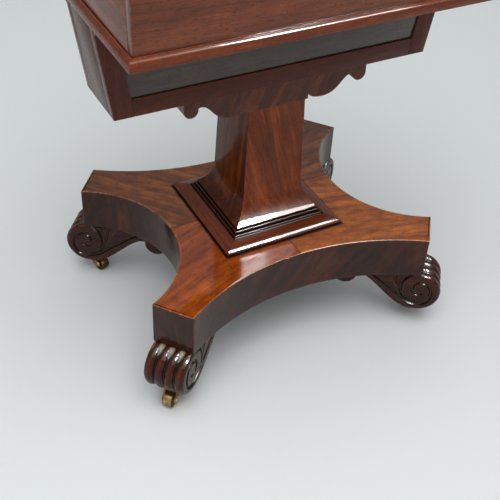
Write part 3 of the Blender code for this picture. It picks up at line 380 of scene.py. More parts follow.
def squareLoft(profile, base, corner, bore=False):
    # mitred square mouldings: profile is (half width, height, mark) from the top down; the mark is wear above
    # zero and dark wax with painted shade below zero
    bm = bmesh.new()
    wear = bm.verts.layers.float.new("wear")
    rings = []
    for half, height, worn in profile:
        ring = []
        for quarter, (sx, sy) in enumerate(((1, 1), (-1, 1), (-1, -1), (1, -1))):
            radius = min(corner, half / 2)
            centre = (sx * (half - radius), sy * (half - radius))
            for x, y in arcPoints(centre, radius, 90 * quarter, 90 * quarter + 90, 3):
                ring.append(bm.verts.new((x, y, base + height)))
        for vertex in ring:
            vertex[wear] = worn
        rings.append(ring)
    joinRings(bm, rings, loop=bore)
    return bm


def lathe(profile, steps, place, loop=False):
    # profile is (radius, height) about the local Z axis
    bm = bmesh.new()
    rings = []
    for radius, height in profile:
        angles = [2 * math.pi * i / steps for i in range(steps)]
        rings.append([bm.verts.new(place @ Vector((radius * math.cos(a), radius * math.sin(a), height)))
                      for a in angles])
    joinRings(bm, rings, loop=loop)
    return bm


def softened(node, arris, steps=2):
    # a planar CAD piece with its arrises rounded and marked as worn
    bm = bmesh.new()
    bm.from_mesh(cad[node].data)
    bmesh.ops.remove_doubles(bm, verts=bm.verts, dist=weld)
    bmesh.ops.dissolve_limit(bm, angle_limit=math.radians(1), verts=bm.verts, edges=bm.edges)
    sharp = [e for e in bm.edges if e.calc_face_angle(0) > math.radians(30)]
    made = bmesh.ops.bevel(bm, geom=sharp, offset=arris, segments=steps, profile=0.5, affect="EDGES",
                           clamp_overlap=True)
    wear = bm.loops.layers.float.new("wear")
    for face in made["faces"]:
        for corner in face.loops:
            corner[wear] = 1.0
    return bm


def newPiece(name, bm, smooth=40):
    bmesh.ops.remove_doubles(bm, verts=bm.verts, dist=weld)
    bmesh.ops.dissolve_degenerate(bm, edges=bm.edges, dist=weld / 10)
    bmesh.ops.recalc_face_normals(bm, faces=bm.faces)
    mesh = bpy.data.meshes.new(name)
    bm.to_mesh(mesh)
    bm.free()
    return placeMesh(name, mesh, smooth)


def placeMesh(name, mesh, smooth=40):
    mesh.shade_smooth()
    mesh.set_sharp_from_angle(angle=math.radians(smooth))
    piece = bpy.data.objects.new(name, mesh)
    bpy.context.scene.collection.objects.link(piece)
    return piece


def plainMesh(piece):
    # what the modifiers make of the piece, as a mesh of its own
    bpy.context.view_layer.update()
    shape = piece.evaluated_get(bpy.context.evaluated_depsgraph_get())
    return bpy.data.meshes.new_from_object(shape)


def polygonData(mesh, name, width):
    values = np.empty(len(mesh.polygons) * width)
    mesh.polygons.foreach_get(name, values)
    return values.reshape(-1, width)


def layGrain(mesh, lays, choose=None):
    # each lay is (origin, along, across); choose picks a lay for every face
    centres, normals = polygonData(mesh, "center", 3), polygonData(mesh, "normal", 3)
    picked = np.zeros(len(centres), int) if choose is None else choose(centres, normals)
    points = np.empty(len(mesh.vertices) * 3)
    mesh.vertices.foreach_get("co", points)
    used = np.empty(len(mesh.loops), int)
    mesh.loops.foreach_get("vertex_index", used)
    perCorner = np.repeat(picked, polygonData(mesh, "loop_total", 1).astype(int).ravel())
    corner = points.reshape(-1, 3)[used]
    grain = np.zeros_like(corner)
    for k, (origin, along, across) in enumerate(lays):
        rows = perCorner == k
        axes = np.stack([along, across, Vector(along).cross(Vector(across))], 1)
        grain[rows] = (corner[rows] - np.array(origin)) @ axes
    layer = mesh.attributes.new("grain", "FLOAT_VECTOR", "CORNER")
    layer.data.foreach_set("vector", grain.ravel())


def score(bm, axis, places):
    # cuts new edges round the mesh, square to the axis
    for place in places:
        geometry = bm.verts[:] + bm.edges[:] + bm.faces[:]
        bmesh.ops.bisect_plane(bm, geom=geometry, plane_co=axis * place, plane_no=axis)


def leaned(along, across, degrees):
    # the grain's two directions, turned from along towards across
    a = math.radians(degrees)
    return along * math.cos(a) + across * math.sin(a), across * math.cos(a) - along * math.sin(a)


def leafAt(k, step):
    return k * step[0], k * step[1], 0  # each piece is cut from another place in the wood


slots = {"frameWood": "mahogany", "topVeneer": "mahogany", "columnVeneer": "mahogany",
         "caseVeneer": "mahogany", "collarWood": "dark_mahogany", "carvedWood": "dark_mahogany",
         "bearerVeneer": "dark_mahogany", "stainedPanel": "stained_panel", "cedarLining": "cedar"}
slots |= {name: "brass" for name in brasses}


def camel(node):
    first, *rest = node.split("_")
    return first + "".join(word.capitalize() for word in rest)


def dress(piece, materials, nodes, lays=(), choose=None, second=None):
    # gives a piece its grain and finishes, and lets it stand for its CAD nodes
    mesh = piece.data
    mesh.materials.clear()
    for name in materials:
        mesh.materials.append(finishes[name])
    if lays:
        layGrain(mesh, lays, choose)
    if second:
        index = second(polygonData(mesh, "center", 3), polygonData(mesh, "normal", 3))
        mesh.polygons.foreach_set("material_index", np.asarray(index, np.int32))
    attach(piece, cad[nodes[0]]["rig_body"])
    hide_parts(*nodes)


# Platform: one block with hollow sides, its top veneered in four quarters

platform = {
    "frontChord": 0.400, "sideChord": 0.290, "frontHollow": 0.059, "sideHollow": 0.0925, "arcSteps": 56,
    "edge": {"arris": 0.0009, "band": 0.0035, "steps": 3, "worn": 0.7}, "lowWear": 0.25, "corner": 0.0022,
    "glue": 0.0006, "seams": {"front": 0.005, "back": 0.0, "left": 0.0, "right": 0.024},  # off the middle
    "waxLine": (0.1003, 0.1042),  # half widths of the painted shadow line round the collar: its contact shadow and reflection on the top
    "quarterAngles": (20, -14, -48, 6),  # degrees of the grain from X
    "sideLean": (34, 10),  # degrees of the grain off upright, in the hollows and on the cants
    "topLeaf": (3.1, 1.7), "sideLeaf": (2.3, 1),
    "slopes": {"flat": 0.7, "cant": 0.995, "top": 0.35, "seam": 0.9},  # of the normals
}


def cantTurn():
    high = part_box("platform")[1]
    return math.atan2(high.x - platform["frontChord"] / 2, high.y - platform["sideChord"] / 2)


def makePlatform():
    low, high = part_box("platform")
    x, y, front, side = high.x, high.y, platform["frontChord"] / 2, platform["sideChord"] / 2
    seams, glue, slopes, turn = platform["seams"], platform["glue"], platform["slopes"], cantTurn()
    outline = []
    for sign in (1, -1):
        for start, end, hollow in (((-front, -y), (front, -y), "frontHollow"),
                                   ((x, -side), (x, side), "sideHollow")):
            outline += hollowPoints(Vector(start) * sign, Vector(end) * sign, platform[hollow],
                                    platform["arcSteps"])
    bm = roundedSlab(eased(outline, platform["corner"]), low.z, high.z, platform["edge"])
    inner, outer = platform["waxLine"]
    for axis, pair in ((right, ("front", "back")), (back, ("left", "right"))):
        cuts = {seams[name] + reach for name in pair for reach in (-glue, glue)}
        score(bm, axis, sorted(cuts | {-outer, -inner, inner, outer}))
    wear = bm.verts.layers.float["wear"]
    for vertex in bm.verts:
        onTop = vertex.co.z > high.z - weld
        # painted shadow: near-black on the top inside the inner half width, fading out by the outer one
        if onTop and max(abs(vertex.co.x), abs(vertex.co.y)) < inner + weld:
            vertex[wear] = -1.0
        if vertex.co.z < low.z + platform["edge"]["band"] / 2:
            vertex[wear] *= platform["lowWear"]
    lays = [(leafAt(k, platform["topLeaf"]), *leaned(right, back, angle))
            for k, angle in enumerate(platform["quarterAngles"])]
    cants = [Vector((sign * math.sin(turn), math.cos(turn), 0)) for sign in (-1, 1)]
    for k, across in enumerate((right, back, *cants)):
        lays.append((leafAt(k, platform["sideLeaf"]), *leaned(up, across, platform["sideLean"][k // 2])))

    def offSeams(centres):
        x, y = centres[:, 0], centres[:, 1]
        return (x - np.where(y < 0, seams["front"], seams["back"]),
                y - np.where(x < 0, seams["left"], seams["right"]))

    def choose(centres, normals):
        x, y = offSeams(centres)
        acrossX, acrossY, level = np.abs(normals).T
        cant = acrossX * math.cos(turn) + acrossY * math.sin(turn) > slopes["cant"]
        cornered = np.where(centres[:, 0] * centres[:, 1] > 0, 6, 7)
        sided = np.where(cant, cornered, np.where(acrossY > acrossX, 4, 5))
        return np.where(level > slopes["flat"], (x > 0) + 2 * (y > 0), sided)

    def finish(centres, normals):
        x, y = offSeams(centres)
        top = normals[:, 2] > slopes["top"]
        seam = (np.minimum(np.abs(x), np.abs(y)) < glue) & (normals[:, 2] > slopes["seam"])
        # the back quarters take the darker copy of the veneer: painted shade
        return np.select([seam, top & (x < 0) & (y < 0), top & (y > 0), top], [3, 2, 4, 0], 1)

    dress(newPiece("platformBlock", bm), ("topVeneer", "sideVeneer", "topVeneerBright", "glueLine",
                                          "topVeneerPaintedShade"), ("platform",), lays, choose, finish)


makePlatform()
print("platform veneered")


# Collar, beads and column, mitred at the corners

shaft = {
    "corner": 0.0006, "bore": 0.0235, "glue": 0.00018, "mitre": 0.00027, "stripLeaf": (0, 2),
    "collar": {"half": 0.0985, "height": 0.0115, "slopeTop": 0.0785, "slopeDrop": (0.0004, 0.0007),
               "quirk": 0.0016, "ovolo": (0.0050, 0.0060), "ovoloSteps": 16, "splay": (55, 0.0021),
               "nose": 0.0022, "noseTurn": (0.0004, 0.0006), "undercut": (0.006, 0.6),
               "slopeWaxAndShade": -0.4, "noseWax": -0.6},
    "beads": {"lower": (0.0760, 0.0026, 8), "upper": (0.0722, 0.0044, 12), "quirk": 0.0009, "wax": -0.55},
    "column": {"foot": 0.0495, "top": 0.0458, "height": 0.1860, "flare": 0.020, "flareHeight": 0.0448,
               "flareSteps": 28, "flarePower": 2.3, "toe": 0.0036, "toeLip": 0.0012,
               "toeTurn": (0.0003, 0.00192), "toeIn": 0.0012, "leaf": (1.3, 2.1),
               "leans": (-15, -4, 6, -5)},  # degrees of the grain off upright
}


def beadProfile(half, middle, radius, steps):
    # points down a half-round bead, darkened along it and near-black at its two ends: dark wax and painted
    # shade under the column's toe
    points = []
    for i in range(steps + 1):
        a = math.radians(90 - 180 * i / steps)
        points.append((half - radius * (1 - math.cos(a)), middle + radius * math.sin(a),
                       -1.0 if i in (0, steps) else shaft["beads"]["wax"]))
    return points


def facing(centres, normals):
    # 0 front, 1 right, 2 back, 3 left, by the side on which a face lies
    x, y = centres[:, 0], centres[:, 1]
    return np.where(np.abs(y) >= np.abs(x), np.where(y < 0, 0, 2), np.where(x > 0, 1, 3))


def onMitre(centres, normals):
    return np.abs(np.abs(centres[:, 0]) - np.abs(centres[:, 1])) < shaft["mitre"]


def makeMoulding(name, node, profile):
    bm = squareLoft(profile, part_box(node)[0].z, shaft["corner"], bore=True)
    for normal in (Vector((1, 1, 0)).normalized(), Vector((1, -1, 0)).normalized()):
        score(bm, normal, (-shaft["glue"], shaft["glue"]))
    strips = [(leafAt(k, shaft["stripLeaf"]), along, up)
              for k, along in enumerate((right, back, right, back))]
    dress(newPiece(name, bm), ("collarWood", "glueLine"), (node,), strips, facing, onMitre)


def makeShaft():
    bore, size = shaft["bore"], shaft["collar"]
    half, top, nose, quirk, slope = (size[name] for name in ("half", "height", "nose", "quirk", "slopeTop"))
    (upperDrop, lowerDrop), (deep, tall), (splay, reach) = size["slopeDrop"], size["ovolo"], size["splay"]
    # near-black dark wax and painted shade in the quirks and the undercut, and darker at the slope's inner
    # edge and under the nose
    profile = [(bore, top, 0.0), (slope - 2 * quirk, top, -1.0), (slope - quirk, top - quirk, -1.0),
               (slope, top - upperDrop, size["slopeWaxAndShade"]), (slope + quirk, top - lowerDrop, 0.0)]
    start, turn = (half - deep, nose + tall), math.radians(splay)
    ovolo = curvePoints(start, (start[0] + reach * math.sin(turn), start[1] - reach * math.cos(turn)),
                        (half, nose + tall / 3), (half, nose), size["ovoloSteps"])
    (turnIn, turnDown), (cutIn, cutShare) = size["noseTurn"], size["undercut"]
    profile += [(*point, 0.0) for point in ovolo]
    profile += [(half - turnIn, nose - turnDown, size["noseWax"]), (half - cutIn, nose * cutShare, -1.0),
                (half - cutIn, 0.0, -1.0), (bore, 0.0, 0.0)]
    makeMoulding("collarMoulding", "collar", profile)

    size = shaft["beads"]
    (lowHalf, lowRise, lowSteps), (highHalf, highRise, highSteps) = size["lower"], size["upper"]
    quirk = size["quirk"]
    # near-black dark wax and painted shade in the quirks between and beside the beads
    profile = [(bore, lowRise + highRise, 0.0), (highHalf - 2 * quirk, lowRise + highRise, -1.0)]
    profile += beadProfile(highHalf, lowRise + (highRise + quirk) / 2, (highRise - quirk) / 2, highSteps)
    profile += [(highHalf - 2 * quirk, lowRise + quirk, -1.0), (highHalf - 2 * quirk, lowRise, -1.0)]
    profile += beadProfile(lowHalf, lowRise / 2, lowRise / 2, lowSteps) + [(bore, 0.0, 0.0)]
    makeMoulding("columnBeads", "column_beads", profile)

    size = shaft["column"]
    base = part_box("column_beads")[1].z + (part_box("column_beads")[0].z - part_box("collar")[1].z)
    profile = [(size["top"], size["height"], 0.0)]
    for i in range(size["flareSteps"] + 1):
        share = i / size["flareSteps"]
        profile.append((size["foot"] + size["flare"] * share ** size["flarePower"],
                        size["toe"] + size["flareHeight"] * (1 - share), 0.0))
    toe, (turnIn, turnDown) = size["foot"] + size["flare"], size["toeTurn"]
    # the toe's lip turns under into near-black dark wax and painted shade
    profile += [(toe, size["toe"] - size["toeLip"], 0.0), (toe - turnIn, size["toe"] - turnDown, -1.0),
                (toe - size["toeIn"], 0.0, -1.0)]
    lays = [(leafAt(k, size["leaf"]), *leaned(up, side, lean))
            for k, (side, lean) in enumerate(zip((right, back, right, back), size["leans"]))]
    # the left face takes the darker copy of the veneer: painted shade
    dress(newPiece("columnShaft", squareLoft(profile, base, shaft["corner"])),
          ("columnVeneer", "columnVeneerPaintedShade"), ("column",), lays, facing,
          lambda centres, normals: facing(centres, normals) == 3)


# Bearer: a sawn outline, veneered on its face

bearer = {"length": 0.2908, "block": 0.0990, "blockDrop": 0.0355, "notch": (0.0012, 0.0069),
          "drop": (0.0730, 0.0364), "dropFullness": 0.62, "arch": (0.1205, 0.0100), "archFullness": 0.35,
          "belly": (0.125, 2 / 3, 0.5), "quirk": 0.0008, "pendant": (0.0216, 0.0240), "steps": 18,
          "lean": 28, "faceSlope": 0.7, "edgeLeaf": (3, 0),  # degrees of the grain off upright
          "edge": {"arris": 0.0007, "band": 0.003, "steps": 2, "worn": 0.3}}


def makeBearer():
    low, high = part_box("bearer")
    block, end, steps = bearer["block"] / 2, bearer["length"] / 2, bearer["steps"]
    notch = (block + bearer["notch"][0], bearer["notch"][1] - bearer["blockDrop"])
    drop, arch = (bearer["drop"][0], -bearer["drop"][1]), (bearer["arch"][0], -bearer["arch"][1])
    wide, rise, (out, down, under) = drop[0] - notch[0], arch[0] - drop[0], bearer["belly"]
    half = [(block, -bearer["blockDrop"]), (block, notch[1])]
    half += curvePoints(notch, (notch[0] + wide * out, notch[1] + (drop[1] - notch[1]) * down),
                        (drop[0] - wide * under, drop[1]), drop, steps)
    half += curvePoints(drop, (drop[0] + rise * bearer["dropFullness"], drop[1]),
                        (arch[0] - rise * bearer["archFullness"], arch[1]), arch, steps)[1:]
    wide, tall = bearer["pendant"]
    half += [(end - wide, arch[1] - bearer["quirk"])]
    half += arcPoints((end - wide / 2, wide / 2 - tall), wide / 2, 180, 360, steps) + [(end, 0.0)]
    outline = [(-x, z) for x, z in reversed(half)] + half
    bm = roundedSlab(outline, -high.y, -low.y, bearer["edge"], Matrix.Translation((0, 0, high.z)) @ upright)
    lays = [(leafAt(0, bearer["edgeLeaf"]), *leaned(up, right, bearer["lean"])),
            (leafAt(1, bearer["edgeLeaf"]), back, right)]
    dress(newPiece("bearerBlock", bm), ("bearerVeneer",), ("bearer",), lays,
          lambda centres, normals: np.where(np.abs(normals[:, 1]) > bearer["faceSlope"], 0, 1))


makeShaft()
makeBearer()
print("column and bearer made")


# Reeded scroll feet, carved from one block. In the foot's own frame X points out along the diagonal, Z up,
# and the origin is the middle of the cant on the platform's underside.

foot = {
    "width": 0.064, "height": 0.0738, "seat": (0.220, 0.1705), "radius": 0.0375,
    "centre": (-0.0024, -0.0372), "reeds": 4, "reedDepth": 0.0056, "reedRound": 1.4, "reedSteps": 14,
    "reedLap": 0.5005, "drumSteps": 120, "drumBore": 0.004, "lump": (0.0032, 0.0005), "setIn": 0.001,
    "crest": 0.25, "reach": 0.094, "sag": 0.040, "tailPull": 1.5, "quirk": (0.0065, 0.0145),
    "lobe": (0.0192, 0.0373), "steps": 24, "recess": (0.0118, 0.0033, 0.01), "voxel": 0.0008, "leaf": (1.9, 0),
    "edge": {"arris": 0.0008, "band": 0.003, "steps": 2, "worn": 0.0},
    "side": (0.0012, 0.6), "rim": 1.2, "rimIn": 0.003,  # what counts as the side and as the reeded rim
    # share of the dust, and of the dark wax and painted shade, that each foot keeps
    "kept": {"front_left": (1.0, 1.0), "front_right": (0.35, 0.7), "back_left": (0.35, 0.6),
             "back_right": (0.35, 0.7)},
}
# Carving on the feet's sides, in millimetres: lines along the tail into the eye, round the scroll's inner
# side and beside the leaf, with each groove's half width and depth
carving = {
    "tail": ((-90, -5), (-82, -9.2), (-73, -15.2), (-60, -25.5), (-45.4, -37.2), (-32, -48), (-18, -56.8),
             (-4, -61.4), (7, -60), (15, -53.5), (19, -44), (19.2, -36)),
    "eye": (0.5, -31.0), "eyeTurns": ((360, 18.3), (405, 17.2), (450, 16), (495, 14), (540, 11.8),
                                      (585, 10.4), (630, 9.4), (665, 8.6)),
    "scroll": ((-12, 2), (-21, -6.5), (-27, -14.5), (-30, -24), (-30, -33), (-27, -42.5), (-20.5, -50.5),
               (-11, -56), (0, -58.5), (8, -57.5)),
    "leaf": ((-36.5, -28), (-35, -17), (-30.5, -4), (-28, 2)),
    "grooves": {"tail": (3.1, 4.4), "scroll": (3.2, 4.6), "eye": (3.0, 3.8), "leaf": (1.4, 2.2)},
    "grooveRound": 1.7, "lineSteps": 6, "waxEdge": 4, "spandrel": 1.1, "spandrelTop": ((-30, 20), (-90, 20)),
    "spandrelLines": (6, -30, -22),  # points left out of the tail's and the scroll's lines
    "leafTip": (-38.0, -31.0), "leafSides": (-57.0, -35.0), "leafDepth": 3.4, "leafBow": 1.5,
    "leafRound": 0.7, "leafRise": (1.2, 3), "leafWax": 0.5,
}
# Where the feet are rubbed, where the reeds' crowns get a painted glow, where dark wax and painted shade lie,
# and
# where dust lies: each pair runs from none to full, in metres or in shares of a reed's pitch from the valley
weather = {"rub": (0, 0.00018), "rubShare": 0.6, "wax": (0.132, 0.012), "waxLeast": 0.05,
           "crown": (0.28, 0.43), "crownFoot": (-0.044, -0.018), "crownHead": (-0.004, -0.012),
           "crownShare": 0.75, "dustHeight": (-0.010, -0.003), "dustOut": -0.006,
           "dustValley": (1.3, 0.3), "dustWidth": (0.02, 0.22), "dustLow": 0.15,
           "dustHollow": (0, -0.0003), "dustHollowShare": 0.4}


def footBlank():
    x, z = foot["centre"]
    half, (wide, tall) = foot["width"] / 2 - foot["setIn"], foot["quirk"]
    low, crest, steps = -foot["height"], foot["radius"] * foot["crest"], foot["steps"]
    tail = curvePoints((x, low), (x - foot["sag"], low),
                       (x - (foot["reach"] + foot["sag"]) / 2, -tall * foot["tailPull"]),
                       (x - foot["reach"], -tall), steps)
    outer = x - foot["reach"] - wide
    radius, deep = foot["lobe"]
    lobe = arcPoints((outer - radius, radius - deep), radius, 0, -180, steps)
    outline = [(x, crest), (x, z)] + tail[1:] + [(outer, -tall)] + lobe + [(outer - 2 * radius, crest)]
    return newPiece("footBlank", roundedSlab(outline[::-1], -half, half, foot["edge"], upright))


def reedTree():
    # one reed repeated side by side
    tree = bpy.data.node_groups.new("reeds", "GeometryNodeTree")
    for name, kind in (("Geometry", "Geometry"), ("Count", "Int"), ("Pitch", "Float"),
                       ("Material", "Material")):
        tree.interface.new_socket(name, in_out="INPUT", socket_type="NodeSocket" + kind)
    tree.interface.new_socket("Geometry", in_out="OUTPUT", socket_type="NodeSocketGeometry")
    given = addNode(tree, "NodeGroupInput").outputs
    step = addNode(tree, "ShaderNodeCombineXYZ", {"Y": given["Pitch"]})
    row = addNode(tree, "GeometryNodeMeshLine", {"Count": given["Count"], "Offset": step.outputs[0]})
    spots = addNode(tree, "GeometryNodeMeshToPoints", {"Mesh": row.outputs[0]})
    copies = addNode(tree, "GeometryNodeInstanceOnPoints", {"Points": spots.outputs[0],
                                                            "Instance": given["Geometry"]})
    solid = addNode(tree, "GeometryNodeRealizeInstances", {0: copies.outputs[0]})
    done = addNode(tree, "GeometryNodeSetMaterial", {"Geometry": solid.outputs[0],
                                                     "Material": given["Material"]})
    addNode(tree, "NodeGroupOutput", {0: done.outputs[0]})
    return tree


def runTree(piece, tree, **values):
    # sets the tree's named inputs on a modifier, and keeps the result as a plain mesh
    modifier = piece.modifiers.new("nodes", "NODES")
    modifier.node_group = tree
    for socket in tree.interface.items_tree:
        if socket.in_out == "INPUT" and socket.name in values:
            modifier[socket.identifier] = values[socket.name]
    mesh = plainMesh(piece)
    piece.modifiers.remove(modifier)
    piece.data = mesh


def reededDrum():
    pitch, steps, bore = foot["width"] / foot["reeds"], foot["reedSteps"], foot["drumBore"]
    profile = []
    for swing in [math.pi * i / steps for i in range(steps + 1)]:
        valley = 1 - max(math.sin(swing), 0) ** foot["reedRound"]
        profile.append((foot["radius"] - foot["reedDepth"] * valley,
                        pitch * foot["reedLap"] * math.cos(swing)))
    profile = [(bore, profile[0][1])] + profile + [(bore, profile[-1][1])]
    x, z = foot["centre"]
    place = Matrix.Translation((x, (pitch - foot["width"]) / 2, z)) @ upright
    drum = newPiece("reededDrum", lathe(profile, foot["drumSteps"], place))
    runTree(drum, reedTree(), Count=foot["reeds"], Pitch=pitch, Material=finishes["carvedWood"])
    return drum


def plateRecess():
    radius, deep, out = foot["recess"]
    place = Matrix.Translation((foot["centre"][0], 0, -foot["height"]))
    return newPiece("plateRecess", lathe([(radius, deep), (radius, -out)], 48, place))


def joined(piece, steps):
    # union and cuts, then one skin over the whole
    for operation, tool in steps:
        modifier = piece.modifiers.new(operation, "BOOLEAN")
        modifier.operation, modifier.solver, modifier.object = operation, "EXACT", tool
        modifier.use_self = True
    skin = piece.modifiers.new("skin", "REMESH")
    skin.mode, skin.voxel_size = "VOXEL", foot["voxel"]
    mesh = plainMesh(piece)
    for spent in [piece] + [tool for _, tool in steps]:
        bpy.data.objects.remove(spent, do_unlink=True)
    return mesh


def lineReach(points, line):
    # distance from each point to a line of points
    best = np.full(len(points), np.inf)
    for start, end in zip(np.array(line[:-1], float), np.array(line[1:], float)):
        step = end - start
        share = np.clip(((points - start) @ step) / (step @ step), 0, 1)
        best = np.minimum(best, np.linalg.norm(points - start - share[:, None] * step, axis=1))
    return best


def fineLine(line):
    # a smooth line through the given points
    line, steps = [np.array(p, float) for p in line], carving["lineSteps"]
    ends = [2 * line[0] - line[1]] + line + [2 * line[-1] - line[-2]]
    points = []
    for p0, p1, p2, p3 in zip(ends, ends[1:], ends[2:], ends[3:]):
        for i in range(steps):
            t = i / steps
            points.append(0.5 * (2 * p1 + (p2 - p0) * t + (2 * p0 - 5 * p1 + 4 * p2 - p3) * t * t
                                 + (3 * p1 - p0 - 3 * p2 + p3) * t ** 3))
    return points + [line[-1]]


def inside(points, outline):
    within = np.zeros(len(points), bool)
    for (x1, z1), (x2, z2) in zip(outline, outline[1:] + outline[:1]):
        crosses = (z1 > points[:, 1]) != (z2 > points[:, 1])
        slope = (x2 - x1) / ((z2 - z1) or 1e-9)
        within ^= crosses & (points[:, 0] < x1 + (points[:, 1] - z1) * slope)
    return within


def carvedDepth(points):
    # depth of the carving below the foot's side, in millimetres, and the near-black dark wax and painted shade
    # laid in its grooves and leaf hollow
    ex, ez = carving["eye"]
    eye = [(ex + r * math.cos(math.radians(a)), ez + r * math.sin(math.radians(a)))
           for a, r in carving["eyeTurns"]]
    lines = {name: fineLine(carving[name]) for name in ("tail", "scroll", "leaf")}
    lines["eye"] = fineLine([carving["tail"][-1]] + eye)
    depth, waxed = np.zeros(len(points)), np.zeros(len(points))
    for name, line in lines.items():
        half, deep = carving["grooves"][name]
        share = np.clip(1 - lineReach(points, line) / half, 0, 1)
        depth = np.maximum(depth, deep * np.sin(share * math.pi / 2) ** carving["grooveRound"])
        waxed = np.maximum(waxed, np.clip(share * carving["waxEdge"], 0, 1))
    first, last, scrollLast = carving["spandrelLines"]
    field = [tuple(p) for p in lines["tail"][first:last] + lines["scroll"][:scrollLast][::-1]]
    field += carving["spandrelTop"]
    depth = np.maximum(depth, np.where(inside(points, field), carving["spandrel"], 0))
    (tipX, tipZ), (most, soon) = carving["leafTip"], carving["leafRise"]
    rise = np.clip((points[:, 1] - tipZ) / -tipZ, 0, most)
    bow = rise ** carving["leafBow"]
    leftEdge, rightEdge = (tipX + (side - tipX) * bow for side in carving["leafSides"])
    middle, reach = (leftEdge + rightEdge) / 2, np.maximum((rightEdge - leftEdge) / 2, 0.01)
    hollow = np.clip(1 - np.abs(points[:, 0] - middle) / reach, 0, 1) ** carving["leafRound"]
    hollow *= np.clip(rise * soon, 0, 1)
    leaf = carving["spandrel"] * (rise > 0) * (hollow > 0) + carving["leafDepth"] * hollow
    depth = np.maximum(depth, leaf)
    return depth, np.maximum(waxed, hollow * carving["leafWax"])


def vertexData(mesh, name, width=3):
    values = np.empty(len(mesh.vertices) * width)
    mesh.vertices.foreach_get(name, values)
    return values.reshape(-1, width)


def bulge(mesh, passes=3):
    # how far each point stands out from its neighbours: positive on arrises, negative in hollows
    points, normals = vertexData(mesh, "co"), vertexData(mesh, "normal")
    pairs = np.empty(len(mesh.edges) * 2, int)
    mesh.edges.foreach_get("vertices", pairs)
    a, b = pairs.reshape(-1, 2).T
    count = np.bincount(np.concatenate((a, b)), minlength=len(points))[:, None]
    soft = points.copy()
    for _ in range(passes):
        total = np.zeros_like(soft)
        np.add.at(total, a, soft[b])
        np.add.at(total, b, soft[a])
        soft = (soft + total / count) / 2
    return ((points - soft) * normals).sum(1)


def ramp(values, limits):
    start, end = limits
    return np.clip((values - start) / (end - start), 0, 1)


def carveFoot():
    drum, recess = reededDrum(), plateRecess()
    mesh = joined(footBlank(), [("UNION", drum), ("DIFFERENCE", recess)])
    points, normals = vertexData(mesh, "co"), vertexData(mesh, "normal")
    half, (band, slope) = foot["width"] / 2, foot["side"]
    side = (np.abs(points[:, 1]) > half - foot["setIn"] - band) & (np.abs(normals[:, 1]) > slope)
    depth, carved = np.zeros(len(points)), np.zeros(len(points))
    depth[side], carved[side] = carvedDepth(points[side][:, [0, 2]] * 1000)
    points[:, 1] -= np.sign(points[:, 1]) * depth / 1000
    fromCentre = np.linalg.norm(points[:, [0, 2]] - np.array(foot["centre"]), axis=1)
    reeded = fromCentre > foot["radius"] - foot["reedDepth"] * foot["rim"]
    reeded &= np.abs(points[:, 1]) < half - foot["rimIn"]
    size, deep = foot["lump"]  # the reeds were cut by hand, and aren't quite even
    lumps = np.array([noise.noise(Vector(p) / size) for p in points])
    points -= normals * ((0.5 + 0.5 * lumps) * deep * reeded)[:, None]
    mesh.vertices.foreach_set("co", points.ravel())
    mesh.update()

    standing, pitch = bulge(mesh), foot["width"] / foot["reeds"]
    x, z = points[:, 0], points[:, 2]
    valley = np.abs((points[:, 1] / pitch + 0.5) % 1 - 0.5)  # 0 in a valley between reeds
    # near-black dark wax and painted shade down the valleys between the reeds, and in the carving
    waxed = np.maximum(ramp(valley, weather["wax"]) * reeded, carved)
    # painted glow along the reeds' crowns in the rubbed-wood tone, lightest at mid height and darker towards
    # the bottom, with the rubbed arrises
    crown = ramp(valley, weather["crown"]) * ramp(z, weather["crownFoot"]) * ramp(z, weather["crownHead"])
    rubbedAndGlow = np.maximum(ramp(standing, weather["rub"]) * weather["rubShare"],
                        crown * reeded * weather["crownShare"])
    worn = np.where(waxed > weather["waxLeast"], -waxed, rubbedAndGlow)
    high = ramp(z, weather["dustHeight"]) * (x > weather["dustOut"])
    narrow, wider = weather["dustWidth"]
    lain = ramp(valley / (narrow + wider * high), weather["dustValley"])
    lain *= reeded * (weather["dustLow"] + (1 - weather["dustLow"]) * high)
    dust = np.maximum(lain, ramp(standing, weather["dustHollow"]) * weather["dustHollowShare"] * side)
    for name, values in (("wear", worn), ("dust", dust)):
        mesh.attributes.new(name, "FLOAT", "POINT").data.foreach_set("value", values.astype(np.float32))

    bm = bmesh.new()
    bm.from_mesh(mesh)
    cut = bmesh.ops.bisect_plane(bm, geom=bm.verts[:] + bm.edges[:] + bm.faces[:], plane_co=(0, 0, 0),
                                 plane_no=up, clear_outer=True)
    bmesh.ops.holes_fill(bm, edges=[e for e in cut["geom_cut"] if isinstance(e, bmesh.types.BMEdge)])
    bmesh.ops.recalc_face_normals(bm, faces=bm.faces)
    bm.to_mesh(mesh)
    bm.free()
    return mesh


def makeFeet():
    carved, turn = carveFoot(), cantTurn()
    for k, (corner, (sx, sy)) in enumerate(corners.items()):
        node = "foot_" + corner
        angle = math.atan2(sy * math.sin(turn), sx * math.cos(turn))
        place = Matrix.Translation((sx * foot["seat"][0], sy * foot["seat"][1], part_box(node)[1].z))
        mesh = carved.copy()
        mesh.transform(place @ Matrix.Rotation(angle, 4, "Z"))
        dusty, waxAndShadeKept = foot["kept"][corner]
        dust, wear = mesh.attributes["dust"].data, mesh.attributes["wear"].data
        values = np.empty(len(mesh.vertices), np.float32)
        dust.foreach_get("value", values)
        dust.foreach_set("value", values * dusty)
        wear.foreach_get("value", values)
        wear.foreach_set("value", np.where(values < 0, values * waxAndShadeKept, values))
        along = Vector((math.cos(angle), math.sin(angle), 0))
        dress(placeMesh(camel(node), mesh, 60), ("carvedWood",), (node,),
              [(leafAt(k, foot["leaf"]), along, up)])
    bpy.data.meshes.remove(carved)


makeFeet()
print("feet carved")


# Castors: turned wheels and pins, filed forks

